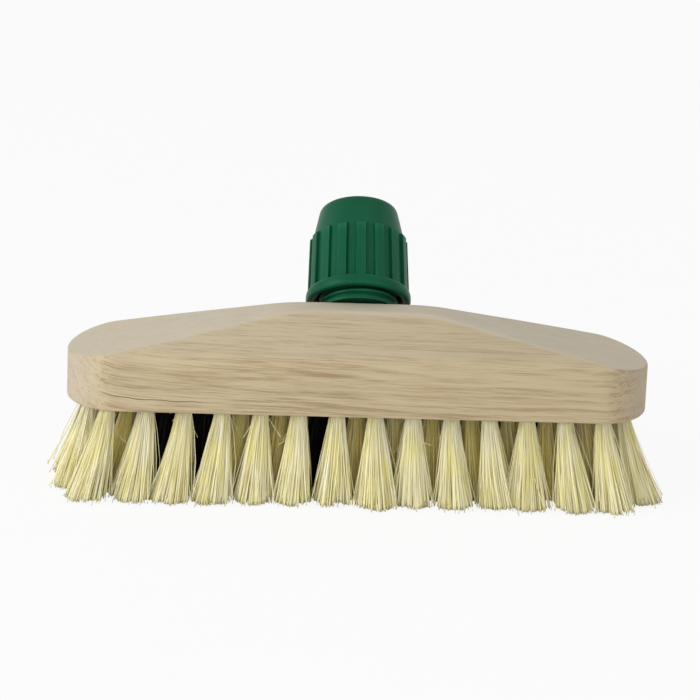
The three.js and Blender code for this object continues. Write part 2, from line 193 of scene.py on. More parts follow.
def smooth_step(low, high, value):
    """0 below low, 1 above high, and a smooth rise between them."""
    share = np.clip((value - low) / (high - low), 0, 1)
    return share * share * (3 - 2 * share)


def soft_min(a, b, ease):
    """The lower of two heights, rounded by ease where they cross."""
    near = np.clip(ease - np.abs(a - b), 0, None)
    return np.minimum(a, b) - near * near / (4 * ease)


def grid_faces(rows, columns, ring_rows=False):
    """Quads between rows of points that each go once round."""
    row = np.arange(rows if ring_rows else rows - 1)
    low, column = np.meshgrid(row, np.arange(columns), indexing="ij")
    high, after = (low + 1) % rows, (column + 1) % columns
    low, high = low * columns, high * columns
    return np.stack([low + column, low + after, high + after, high + column], -1).reshape(-1, 4)


def eased(corners, closed=False):
    """Outline through (radius, height, ease, kind) corners; a round starts by its ease before one."""
    points = []
    last = len(corners) - 1
    for i, (radius, height, ease, kind) in enumerate(corners):
        here = np.array((radius, height))
        if ease == 0 or (not closed and i in (0, last)):
            points.append((radius, height, kind))
            continue
        before = np.array(corners[i - 1][:2]) - here
        after = np.array(corners[(i + 1) % len(corners)][:2]) - here
        spans = np.linalg.norm(before), np.linalg.norm(after)
        start = here + before * min(ease / spans[0], 0.5)
        end = here + after * min(ease / spans[1], 0.5)
        for t in np.linspace(0, 1, 4 + int(2 * ease)):
            r, h = start * (1 - t) ** 2 + 2 * here * t * (1 - t) + end * t * t
            points.append((r, h, kind))
    return points


def turned(outline, angles, lift=None, closed=False):
    """An outline turned about Z; lift adds to the radius by kind, radius, height and angle."""
    radius, height, kinds = [np.array(part)[:, None] for part in zip(*outline)]
    angle = np.asarray(angles)[None, :]
    grown = radius + (lift(kinds, radius, height, angle) if lift else 0 * angle)
    verts = np.stack([grown * np.cos(angle), grown * np.sin(angle), height + 0 * angle], -1)
    return verts.reshape(-1, 3), grid_faces(len(outline), angle.size, closed).tolist()


def even_angles(columns):
    """Angles once round."""
    return np.arange(columns) * (2 * math.pi / columns)


def rod(radius, bottom, top, point, columns):
    """A closed round rod with a pointed top, for drilling."""
    outline = [(0, bottom, ""), (radius, bottom, ""), (radius, top - point, ""), (0, top, "")]
    return turned(outline, even_angles(columns))


def bar(low, high):
    """A closed box from its two corners."""
    verts = np.array([[(low, high)[i >> k & 1][k] for k in range(3)] for i in range(8)], float)
    faces = [(0, 2, 3, 1), (4, 5, 7, 6), (0, 1, 5, 4), (2, 6, 7, 3), (0, 4, 6, 2), (1, 3, 7, 5)]
    return verts, faces


def moved(shape, matrix):
    """The shape taken through a matrix in millimetres."""
    verts, faces = shape
    turn_part = np.array(matrix.to_3x3())
    return verts @ turn_part.T + np.array(matrix.translation), faces


def together(shapes):
    """Several shapes as one list of vertices and faces."""
    verts, faces, first = [], [], 0
    for shape_verts, shape_faces in shapes:
        verts.append(shape_verts)
        faces.extend([tuple(i + first for i in face) for face in shape_faces])
        first += len(shape_verts)
    return np.concatenate(verts), faces


def fade(height, low, high, run):
    """1 between two heights, falling to 0 over a run at each of them."""
    return smooth_step(low, low + run, height) * (1 - smooth_step(high - run, high, height))


def threaded(depth, lead, start, ends, run, power=1):
    """A lift for turned(): a right-hand thread between two heights, run out at both."""
    def lift(kinds, radius, height, angle):
        phase = (height - start) / lead - angle / (2 * math.pi)
        from_crest = 2 * np.abs(phase - np.floor(phase) - 0.5)
        ridge = (1 - smooth_step(0.2, 0.8, from_crest)) ** power
        return np.where(kinds == "thread", depth * ridge * fade(height, *ends, run), 0)

    return lift


# Objects

WELD_DISTANCE = 1e-7


def placed(name, data, place, material=None):
    """An object for a mesh, lamp or camera, at a place in metres."""
    made = bpy.data.objects.new(name, data)
    bpy.context.scene.collection.objects.link(made)
    made.matrix_world = place
    if material:
        data.materials.append(material)
    return made


def make_object(name, shape, place, material, sharp_angle=35):
    """A mesh object from a shape in millimetres, with its seams welded."""
    verts, faces = shape
    mesh = bpy.data.meshes.new(name)
    mesh.from_pydata((verts * MM).tolist(), [], faces)
    welded = bmesh.new()
    welded.from_mesh(mesh)
    bmesh.ops.remove_doubles(welded, verts=welded.verts, dist=WELD_DISTANCE)
    bmesh.ops.dissolve_degenerate(welded, edges=welded.edges, dist=WELD_DISTANCE)
    bmesh.ops.recalc_face_normals(welded, faces=welded.faces)
    welded.to_mesh(mesh)
    welded.free()
    piece = placed(name, mesh, place, material)
    soften(mesh, sharp_angle)
    return piece


def soften(mesh, sharp_angle):
    """Smooth shading with crisp edges past an angle in degrees."""
    mesh.shade_smooth()
    mesh.set_sharp_from_angle(angle=math.radians(sharp_angle))


def carve(piece, shape, sharp_angle):
    """Cuts a closed shape, given in the piece's own frame, out of a piece."""
    cutter = make_object("cutter", shape, piece.matrix_world, None)
    cut = piece.modifiers.new("carve", "BOOLEAN")
    cut.object = cutter
    cut.solver = "EXACT"
    cut.operation = "DIFFERENCE"
    ready = piece.evaluated_get(bpy.context.evaluated_depsgraph_get())
    mesh = bpy.data.meshes.new_from_object(ready)
    piece.modifiers.clear()
    old = piece.data
    mesh.name = old.name
    piece.data = mesh
    bpy.data.meshes.remove(old)
    bpy.data.objects.remove(cutter)
    if not mesh.polygons:
        raise RuntimeError(f"nothing is left of {piece.name} after carving")
    soften(mesh, sharp_angle)


def settle(piece, body, slot, *nodes):
    """Rides a piece on its body and hides the plain solids that it stands for; its slot is not used."""
    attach(piece, body)
    if nodes:
        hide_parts(*nodes)


# Finishes

class Finish:
    """The node tree of a material or a world; an input is a value or another node's output."""

    def __init__(self, owner):
        owner.use_nodes = True
        self.owner = owner
        self.tree = owner.node_tree
        self.tree.nodes.clear()

    def node(self, kind, inputs=None, **options):
        """A node with its options set and its inputs set or linked."""
        made = self.tree.nodes.new(kind)
        for key, value in options.items():
            setattr(made, key, value)
        for key, value in (inputs or {}).items():
            if isinstance(value, bpy.types.NodeSocket):
                self.tree.links.new(value, made.inputs[key])
            else:
                made.inputs[key].default_value = value
        return made

    def math(self, operation, a, b=0.0):
        """One sum on two numbers."""
        return self.node("ShaderNodeMath", {0: a, 1: b}, operation=operation).outputs[0]

    def total(self, *values):
        """Several numbers added up."""
        return reduce(lambda a, b: self.math("ADD", a, b), values)

    def product(self, *values):
        """Several numbers multiplied."""
        return reduce(lambda a, b: self.math("MULTIPLY", a, b), values)

    def about_zero(self, value, reach):
        """Noise brought to lie about zero, times a reach."""
        return self.product(self.math("SUBTRACT", value, 0.5), reach)

    def mix(self, share, a, b, blend="MIX"):
        """Two colours mixed by a share."""
        made = self.node("ShaderNodeMix", {0: share, 6: a, 7: b}, data_type="RGBA", blend_type=blend)
        return made.outputs[2]

    def between(self, value, low, high, start=0.0, end=1.0):
        """A smooth change from start to end as a value goes from low to high."""
        inputs = {"Value": value, "From Min": low, "From Max": high, "To Min": start, "To Max": end}
        return self.node("ShaderNodeMapRange", inputs, interpolation_type="SMOOTHSTEP").outputs[0]

    def noise(self, vector, scale, detail=2.0, roughness=0.5):
        """Fractal noise; scale is repeats in a millimetre, one number or one for each axis."""
        if isinstance(scale, tuple):
            vector = self.mapped(vector, scale=scale)
            scale = 1.0
        inputs = {"Vector": vector, "Scale": scale, "Detail": detail, "Roughness": roughness}
        return self.node("ShaderNodeTexNoise", inputs).outputs["Fac"]

    def mapped(self, vector, scale=(1, 1, 1), location=(0, 0, 0), rotation=(0, 0, 0)):
        """A vector scaled, turned and moved."""
        inputs = {"Vector": vector, "Scale": scale, "Location": location, "Rotation": rotation}
        return self.node("ShaderNodeMapping", inputs).outputs[0]

    def own_millimetres(self):
        """The piece's own coordinates in millimetres."""
        own = self.node("ShaderNodeTexCoord").outputs["Object"]
        return self.mapped(own, scale=(1 / MM, 1 / MM, 1 / MM))

    def parts(self, vector):
        """The three parts of a vector."""
        return self.node("ShaderNodeSeparateXYZ", {0: vector}).outputs

    def bump(self, height, strength, distance):
        """A bumped normal; distance is in metres."""
        inputs = {"Height": height, "Strength": strength, "Distance": distance}
        return self.node("ShaderNodeBump", inputs).outputs[0]

    def surface(self, **inputs):
        """The shader and the output; input names use _ for a space."""
        named = {key.replace("_", " "): value for key, value in inputs.items()}
        shader = self.node("ShaderNodeBsdfPrincipled", named)
        self.node("ShaderNodeOutputMaterial", {"Surface": shader.outputs[0]})
        return self.owner


def new_finish(name):
    """An empty material to put nodes in."""
    return Finish(bpy.data.materials.new(name))


def toned(colour, factor, lift=0.0):
    """A colour made paler or darker."""
    return (*[min(1.0, part * factor + lift) for part in colour[:3]], 1.0)


# Wood: rings, and the climb of the grain at the left end, in millimetres
GRAIN_TILT = math.radians(-1.1)
PITH = (0, 24, 92)
RING_STEP, RING_WANDER, RING_RIPPLE = 4.4, 24.0, 3.4
CURL_RISE, CURL_RUN = 3.2, 9.0
CLIMB_RISE, CLIMB_RUN = 2.6, 70.0

# Repeats in a millimetre along, across and up the grain
WANDER, RIPPLE, RING_PATCH = (0.0045, 0.02, 0.02), (0.015, 0.11, 0.11), (0.006, 0.10, 0.10)
STREAK, FINE, HAIR = (0.008, 0.20, 0.40), (0.032, 0.72, 1.45), (0.08, 3.6, 3.6)
PORE, FLECK, CLOUD = (0.08, 2.1, 2.1), (0.013, 0.33, 0.33), (0.016, 0.04, 0.04)
SPECKLE, WAVER = 1.3, (0.12, 0, 0)

# How much darker each of them makes the wood
RING_DARK, STREAK_DARK, FINE_DARK, FLECK_DARK, PORE_DARK = 0.46, 1.6, 3.9, 0.34, 0.18
HAIR_DARK, BASE_DARK, SPECKLE_DARK = 0.95, 0.145, 1.5
END_SHARE = 0.48
CLOUD_WOOD, CHECK_WOOD = (0.70, 0.57, 0.36, 1), (0.13, 0.085, 0.05, 1)

# The check in the front wall
CHECK_START, CHECK_END, CHECK_LEVEL = -126.0, -62.0, 4.5
CHECK_FADE_IN, CHECK_FADE_OUT = 10.0, 22.0
CHECK_WAVER, CHECK_DARK = 1.6, 0.85


def ring_lines(finish, grain):
    """Share of dark late wood: rings round a pith, some of them stronger than others."""
    across = finish.mapped(grain, scale=(0, 1, 1), location=PITH)
    place = finish.node("ShaderNodeVectorMath", {0: across}, operation="LENGTH").outputs["Value"]
    wander = finish.product(finish.noise(grain, WANDER), RING_WANDER)
    ripple = finish.product(finish.noise(grain, RIPPLE, detail=3), RING_RIPPLE)
    ring = finish.math("FRACT", finish.math("DIVIDE", finish.total(place, wander, ripple), RING_STEP))
    rise = finish.between(ring, 0.1, 0.8)
    fall = finish.between(ring, 0.86, 1.0, 1.0, 0.0)
    strength = finish.between(finish.noise(grain, RING_PATCH), 0.40, 0.66)
    return finish.product(rise, fall, strength)


def grain_curl(finish, place):
    """How far the grain climbs towards the block's left end."""
    along = finish.math("SUBTRACT", CHECK_START, place["X"])
    climbs = []
    for rise, run in ((CURL_RISE, CURL_RUN), (CLIMB_RISE, CLIMB_RUN)):
        climbs.append(finish.product(finish.math("EXPONENT", finish.math("DIVIDE", along, run)), rise))
    return finish.total(*climbs)


def curled_grain(finish, plain):
    """Coordinates along the grain, which slopes a little and climbs at the left end."""
    place = finish.parts(plain)
    level = finish.math("SUBTRACT", place["Z"], grain_curl(finish, place))
    curled = finish.node("ShaderNodeCombineXYZ", {0: place["X"], 1: place["Y"], 2: level}).outputs[0]
    return finish.mapped(curled, rotation=(0, GRAIN_TILT, 0))


def grain_check(finish, plain):
    """Share of a thin dark check that curves up at the left of the front wall."""
    place = finish.parts(plain)
    waver = finish.about_zero(finish.noise(plain, WAVER), CHECK_WAVER)
    level = finish.total(grain_curl(finish, place), CHECK_LEVEL, waver)
    away = finish.math("ABSOLUTE", finish.math("SUBTRACT", place["Z"], level))
    thin = finish.between(away, 0.08, 0.36, 1.0, 0.0)
    left = finish.between(place["X"], CHECK_START, CHECK_START + CHECK_FADE_IN)
    right = finish.between(place["X"], CHECK_END - CHECK_FADE_OUT, CHECK_END, 1.0, 0.0)
    front = finish.between(place["Y"], -20.0, -16.0, 1.0, 0.0)
    return finish.product(thin, left, right, front, CHECK_DARK)


def wood_finish(block):
    """Bare sanded wood: rings cut by the faces, streaks, fine fibre, pores and a check in the wall."""
    finish = new_finish("bare_wood")
    plain = finish.own_millimetres()
    grain = curled_grain(finish, plain)
    streak = finish.noise(grain, STREAK, detail=3, roughness=0.6)
    fine = finish.noise(grain, FINE, detail=4, roughness=0.75)
    hair = finish.noise(grain, HAIR)
    pore = finish.between(finish.noise(grain, PORE, detail=1), 0.62, 0.72)
    fleck = finish.between(finish.noise(grain, FLECK), 0.60, 0.72)
    speckle = finish.about_zero(finish.noise(plain, SPECKLE), SPECKLE_DARK)

    normal = finish.parts(finish.node("ShaderNodeNewGeometry").outputs["Normal"])
    upwards = normal["Z"]
    endways = finish.between(finish.math("ABSOLUTE", normal["X"]), 0.30, 0.95)
    contrast = finish.product(
        finish.between(upwards, 0.62, 1.02, 1.0, 0.72), finish.between(endways, 0.0, 1.0, 1.0, 0.9))
    strong = finish.total(
        finish.product(ring_lines(finish, grain), RING_DARK),
        finish.about_zero(streak, STREAK_DARK), finish.about_zero(fine, FINE_DARK),
        finish.product(fleck, FLECK_DARK), finish.product(pore, PORE_DARK))
    faint = finish.total(finish.about_zero(hair, HAIR_DARK), BASE_DARK)
    dark = finish.total(finish.product(strong, contrast), faint, finish.product(speckle, endways))
    body = finish.mix(finish.between(dark, -0.1, 1.1), block.pale_wood, block.dark_wood)

    body = finish.mix(finish.product(endways, END_SHARE), body, block.end_wood)
    # Painted shade: the wood is mixed more and more towards dark wood towards the right end, and more
    # again on the bevels, standing in for light that falls off away from the lamp on the left.
    bevel = finish.product(
        finish.between(upwards, 0.4, 0.7), finish.between(upwards, 0.8, 0.93, 1.0, 0.0))
    along = finish.parts(plain)["X"]
    right = finish.between(along, -110.0, 120.0, 0.02, 0.20)
    bevel_shade = finish.product(bevel, finish.between(along, -70.0, 110.0, 0.08, 0.21))
    body = finish.mix(finish.total(right, bevel_shade), body, block.dark_wood)
    flat = finish.total(
        finish.between(upwards, 0.78, 0.99, 0.0, 0.60), finish.between(upwards, 0.4, 0.8, 0.0, 0.20))
    body = finish.mix(flat, body, block.sanded_wood)
    cloud = finish.between(finish.noise(plain, CLOUD), 0.35, 0.7, 0.0, 0.18)
    body = finish.mix(cloud, body, CLOUD_WOOD)
    check = grain_check(finish, plain)
    relief = finish.math("SUBTRACT", finish.product(hair, 0.5), finish.total(pore, check))
    return finish.surface(
        Base_Color=finish.mix(check, body, CHECK_WOOD),
        Roughness=finish.between(streak, 0.3, 0.7, 0.58, 0.74),
        Specular_IOR_Level=0.3,
        Normal=finish.bump(relief, 0.22, 0.00012),
    )


FIBRE_PATCH, PATCH_SCATTER = (0.17, 0.17, 0.045), 0.16
TIP_SHADE, ROOT_SHADE = (0.55, 0.55, 0.53, 1), (0.80, 0.80, 0.84, 1)


def fibre_finish(name, stops, cast, roughness, gloss):
    """Cut fibres, each with its own tone, patches of a cast, and darker cut tips."""
    finish = new_finish(name)
    own = finish.own_millimetres()
    layer = finish.node("ShaderNodeAttribute", attribute_name="fibre").outputs["Color"]
    tone = finish.node("ShaderNodeSeparateColor", {0: layer}).outputs
    low, middle, high = stops
    body = finish.mix(finish.between(tone["Red"], 0.0, 0.45), low, middle)
    body = finish.mix(finish.between(tone["Red"], 0.40, 1.0), body, high)
    speck = finish.noise(own, 0.9, detail=3)
    body = finish.mix(finish.between(speck, 0.3, 0.7, 0.0, 0.30), body, middle)
    patch = finish.total(finish.noise(own, FIBRE_PATCH), finish.product(tone["Blue"], PATCH_SCATTER))
    body = finish.mix(finish.between(patch, 0.48, 0.76, 0.0, 0.62), body, cast)
    cut_tip = finish.between(tone["Green"], 0.95, 1.0, 0.0, 0.85)
    body = finish.mix(cut_tip, body, TIP_SHADE, "MULTIPLY")
    near_root = finish.between(tone["Green"], 0.0, 0.48, 1.0, 0.0)
    return finish.surface(
        Base_Color=finish.mix(near_root, body, ROOT_SHADE, "MULTIPLY"),
        Roughness=finish.between(speck, 0.3, 0.7, roughness - 0.08, roughness + 0.08),
        Specular_IOR_Level=gloss,
    )


HOLLOW_REACH = 0.010
PLASTIC_FLOW, PLASTIC_GRAIN = (0.05, 0.05, 0.02), 2.6
# Colours for a painted highlight on convex edges and painted shade in grooves and hollows
EDGE_HIGHLIGHT_GREEN, GROOVE_SHADE_GREEN = (0.022, 0.20, 0.105, 1), (0.001, 0.032, 0.014, 1)
HOLLOW_SHADE_GREEN = (0.001, 0.024, 0.010, 1)


def plastic_finish(name, clamp):
    """Moulded plastic with a faint flow pattern, painted highlights on edges, painted shade in grooves
    and hollows, and uneven gloss.
    """
    finish = new_finish(name)
    own = finish.own_millimetres()
    flow = finish.between(finish.noise(own, PLASTIC_FLOW, detail=3), 0.32, 0.70, 0.0, 0.6)
    grain = finish.noise(own, PLASTIC_GRAIN)
    body = finish.mix(flow, clamp.green, toned(clamp.green, 1.35, 0.004))
    edge = finish.node("ShaderNodeNewGeometry").outputs["Pointiness"]
    # Painted highlight: convex edges are mixed towards a paler green.
    body = finish.mix(finish.between(edge, 0.51, 0.56, 0.0, 0.50), body, EDGE_HIGHLIGHT_GREEN)
    # Painted shade: concave corners and grooves are mixed towards a darker green.
    body = finish.mix(finish.between(edge, 0.44, 0.485, 0.65, 0.0), body, GROOVE_SHADE_GREEN)
    # Painted shade: where ambient occlusion finds nearby surfaces, under the flange and in the grooves,
    # the green is mixed towards a near-black green.
    around = finish.node("ShaderNodeAmbientOcclusion", {"Distance": HOLLOW_REACH}, samples=8)
    hollow_shade = finish.between(around.outputs["AO"], 0.15, 0.74, 0.85, 0.0)
    return finish.surface(
        Base_Color=finish.mix(hollow_shade, body, HOLLOW_SHADE_GREEN),
        Roughness=finish.between(grain, 0.3, 0.7, 0.30, 0.42),
        Specular_IOR_Level=0.10,
        Normal=finish.bump(grain, 0.08, 0.0001),
    )


def metal_finish(name, colour, roughness):
    """Plated steel with a fine uneven gloss."""
    finish = new_finish(name)
    cloud = finish.noise(finish.own_millimetres(), 0.8, detail=3)
    return finish.surface(
        Base_Color=finish.mix(finish.between(cloud, 0.3, 0.7), colour, toned(colour, 0.72)),
        Metallic=1.0,
        Roughness=finish.between(cloud, 0.3, 0.7, roughness - 0.08, roughness + 0.1),
    )


# Wooden block

EAVES_SHORT, EAVES_RUN = 16.0, 22.0
HIP_LOW, HIP_HIGH = 0.45, 0.95
UNDERSIDE_SHARES, WALL_SHARES = (1.0, 0.6, 0.3), (0.3, 0.6)
FOOT_STEPS, EAVES_STEPS = 6, 10
BLOCK_SHARP = 40
HOLE_START, HOLE_POINT, PILOT_POINT = -2.0, 1.5, 4.0


def block_height(block, x, y):
    """Height of the hipped top over a point of the plan."""
    half, top = BLOCK_SIZE / 2, BLOCK_SIZE.z
    wall, end = mm(block.wall_height), mm(block.end_height)
    hip, crest = mm(block.hip_ease), mm(block.crest_ease)
    ramp = end + (top - end) * (half.x - np.abs(x)) / (half.x - mm(block.crest_length) / 2)
    bevel = wall + (top - wall) * (half.y - np.abs(y)) / (half.y - mm(block.crest_width) / 2)
    high = smooth_step(HIP_LOW, HIP_HIGH, (ramp - end) / (top - end))
    return soft_min(soft_min(ramp, bevel, hip + (crest - hip) * high), top + 0 * x, crest)


def block_outline(block):
    """Points once round the plan, and for each the point of the middle line that it is drawn towards."""
    half = BLOCK_SIZE / 2
    end_round, step = mm(block.end_round), mm(block.mesh_step)
    straight = half.x - end_round
    along = np.linspace(-straight, straight, int(2 * straight / step))
    angle = np.linspace(-math.pi / 2, math.pi / 2, int(math.pi * half.y * 0.5 / step) * 2 + 1)[1:-1]
    end_x = straight + end_round * np.cos(angle)
    end_y = half.y * np.sin(angle)
    x = np.concatenate([along, end_x, along[::-1], -end_x])
    y = np.concatenate([0 * along - half.y, end_y, 0 * along + half.y, -end_y])
    return np.stack([x, y], -1), np.stack([np.clip(x, -straight, straight), 0 * y], -1)


def block_shape(block):
    """The block as rings of points from the middle of its underside to the middle of its crest."""
    edge, middle = block_outline(block)
    depth = np.linalg.norm(edge - middle, axis=1)
    foot, end_ease = mm(block.foot_ease), mm(block.end_ease)
    bevelled = smooth_step(EAVES_SHORT, EAVES_SHORT + EAVES_RUN, BLOCK_SIZE.x / 2 - np.abs(edge[:, 0]))
    ease = end_ease + (mm(block.eaves_ease) - end_ease) * bevelled
    rings = []

    def drawn_in(inset):
        """The outline drawn in by an inset."""
        return edge + (middle - edge) * (inset / depth)[:, None]

    def ring(inset, height):
        """Adds a ring drawn in by an inset and set at a height."""
        rings.append(np.column_stack([drawn_in(inset), height + 0 * inset]))

    def top_at(inset):
        """Height of the top where a ring is drawn in by an inset."""
        return block_height(block, *drawn_in(inset).T)

    for share in UNDERSIDE_SHARES:
        ring(foot + (depth - foot) * share, 0)
    for t in np.linspace(0, 1, FOOT_STEPS):
        ring(foot * (1 - t) ** 2 + 0 * depth, foot * t * t)
    eaves = top_at(0 * depth)
    for share in WALL_SHARES:
        ring(0 * depth, foot + (eaves - ease - foot) * share)
    for t in np.linspace(0, 1, EAVES_STEPS):
        height = (eaves - ease) * (1 - t) ** 2 + 2 * eaves * t * (1 - t) + top_at(ease) * t * t
        ring(ease * t * t, height)
    inner_rings = int((BLOCK_SIZE.y / 2) / mm(block.mesh_step))
    for share in np.linspace(0, 1, inner_rings)[1:]:
        inset = ease + (depth - ease) * share
        ring(inset, top_at(inset))
    return np.concatenate(rings), grid_faces(len(rings), len(edge)).tolist()


def clamp_place(block):
    """Where the clamp stands: square on the middle of the back bevel."""
    y = (BLOCK_SIZE.y + mm(block.crest_width)) / 4
    z = (BLOCK_SIZE.z + mm(block.wall_height)) / 2
    return Matrix.Translation((0, y, z)) @ Matrix.Rotation(-CLAMP_TILT, 4, "X")


def clamp_world(block):
    """The clamp's place in metres in the shared frame."""
    place = clamp_place(block)
    place.translation *= MM
    return BLOCK_PLACE @ place


class BRUSH_OT_block(bpy.types.Operator):
    """Makes the hipped wooden block with its tuft holes and the slanted hole for the socket"""

    bl_idname = "brush.make_block"
    bl_label = "Wooden block"

    def execute(self, context):
        block, tufts, _, _ = settings(context)
        shape = block_shape(block)
        piece = make_object("grained_block", shape, BLOCK_PLACE, wood_finish(block), BLOCK_SHARP)
        hole = rod(mm(tufts.hole_radius), HOLE_START, mm(tufts.hole_depth), HOLE_POINT, 20)
        drilled = [moved(hole, place) for place in tuft_places(block, tufts, 0)]
        slanted = clamp_place(block) @ Matrix.Rotation(math.pi, 4, "X")
        drilled.append(moved(rod(SPIGOT_RADIUS + GAP, -SPIGOT_DEPTH, SPIGOT_DEPTH, 0, 64), slanted))
        carve(piece, together(drilled), BLOCK_SHARP)
        pilot_depth = SCREW_LENGTH - SOCKET_FLOOR + GAP
        pilot = rod(SCREW_SHANK + GAP, SPIGOT_DEPTH - 1, pilot_depth, PILOT_POINT, 24)
        carve(piece, moved(pilot, slanted), BLOCK_SHARP)
        settle(piece, "brush_head", "wood", "wood_block")
        return {"FINISHED"}


# Tufts

ROWS = (-2, -1, 0, 1, 2)
BLACK_TUFTS = ((-1, -5), (-1, -4), (-1, -1), (0, -4.5))
SEED = 41
ROW_SEED, PLACE_SEED = 9, 99
POCKET_RIM, TUFT_MARGIN = 3.3, 4.5
LEAN_POWER = 0.8
LAST_PLACE, LAST_LEAN = 7, 2.0
ROOTED, FREE_STEPS = 5.0, (0.0, 0.25, 0.60, 1.0)
FLOOR_MARGIN, MOST_SHORT = 0.10, 9.0
FIBRE_SIDES, FIBRE_TAPER = 3, 0.94

# How far the fibres of a tuft differ
TIP_SCATTER, OPENING_RANGE, OPENING_SCATTER = 1.3, (0.90, 1.10), 0.07
RADIUS_SCATTER, TURN_SCATTER = 0.05, 0.25
RIM_SHARE, RIM_RANGE = 0.55, (0.78, 1.02)
LOCKS, LOCK_RING, LOCK_OPENING, LOCK_PULL = 15, 0.86, 1.05, (0.05, 0.30)
LOOSE_SHARE, LOOSE_REACH, HELD_REACH = 0.22, 2.2, 0.5
SHORT_SHARE, SHORT_BY = 0.05, 2.5
LOCK_SHORT, FIBRE_SHORT, STRAY_SHORT = (1.3, 0.42), 0.3, (1.5, 1.6)
TONE_SPREAD, TONE_SHARE, LOCK_TONE, STRAY_TONE = (5, 2.2), 0.75, (0.05, 0.25), (0.5, 1.0)
# Tone factors that make the inner tufts and the middle row's end tufts browner: painted shade for tufts
# that stand in the shade of the tufts around them.
INNER_SHADE_TONE, END_SHADE_TONE = 0.22, 0.65
FIBRE_BOW, STRAY_BOW = 0.35, 1.1
FLARE_EVEN, FLARE_LATE, FLARE_POWER = 0.7, 0.3, 1.7
STRAY_ROOT, STRAY_RANGE = 0.95, (1.0, 1.5)
BROKEN_DROP, BROKEN_REACH, BROKEN_SAG = (-1.8, -0.35), (5, 9.5), (-1.2, 1.2)
THICKNESS_RANGE, STRAY_THICKNESS, BROKEN_THICKNESS = (0.75, 1.2), 0.72, 0.75

# The pieces of pale tufts: the row of each, and the plain solid that it stands for
ROW_PIECES = {
    "front_tufts": (-2, "front_row_bristles"),
    "second_tufts": (-1,),
    "middle_tufts": (0, "inner_bristles"),
    "fourth_tufts": (1,),
    "rear_tufts": (2, "rear_row_bristles"),
}


def row_pitch(tufts):
    """Distance between two rows."""
    return (BLOCK_SIZE.y / 2 - mm(tufts.wall_to_row)) / 2


def all_tufts(block, tufts):
    """Every tuft as (row, place along the row in pitches)."""
    made = []
    end_round = mm(block.end_round)
    for row in ROWS:
        across = row * row_pitch(tufts) / (BLOCK_SIZE.y / 2 - POCKET_RIM)
        bulge = (end_round - POCKET_RIM) * math.sqrt(1 - across ** 2)
        reach = BLOCK_SIZE.x / 2 - end_round + bulge - TUFT_MARGIN
        first = 0.5 if row % 2 == 0 else 0.0
        last = math.floor(reach / mm(tufts.pitch) - first) + first
        made += [(row, place) for place in np.arange(-last, last + 0.5)]
    return made


def is_black(tuft):
    """Whether a tuft is one of the dyed ones, which come in pairs across the block's middle."""
    row, place = tuft
    return (row, place) in BLACK_TUFTS or (-row, -place) in BLACK_TUFTS


def tuft_root(tufts, tuft):
    """Middle of a tuft's hole in the plan."""
    row, place = tuft
    shift = math.copysign(mm(tufts.outer_shift), row) if abs(row) == max(ROWS) else 0
    return place * mm(tufts.pitch) + shift, row * row_pitch(tufts)


def tuft_places(block, tufts, height):
    """A matrix for each tuft hole, at a height over the block's underside."""
    return [Matrix.Translation((*tuft_root(tufts, tuft), height)) for tuft in all_tufts(block, tufts)]


def tuft_tip(tufts, tuft):
    """Middle of a tuft's tips in the plan, leaning out towards the nearer end and wall."""
    row, place = tuft
    x, y = tuft_root(tufts, tuft)
    lean = mm(tufts.end_lean) * (abs(place) / LAST_PLACE) ** LEAN_POWER
    if abs(place) >= LAST_PLACE:
        lean += LAST_LEAN
    return x + math.copysign(lean, place), y + mm(tufts.row_lean) * row / max(ROWS)


def disc_points(rng, number_of, rim=0.0):
    """Points spread over a unit disc with some scatter, a share of them drawn out towards its rim."""
    index = np.arange(number_of) + 0.5
    radius = np.sqrt(index / number_of) * (1 + rng.normal(0, RADIUS_SCATTER, number_of))
    drawn = rng.random(number_of) < rim
    radius[drawn] = rng.uniform(*RIM_RANGE, drawn.sum())
    angle = index * math.pi * (3 - math.sqrt(5)) + rng.normal(0, TURN_SCATTER, number_of)
    return np.stack([radius * np.cos(angle), radius * np.sin(angle)], -1)


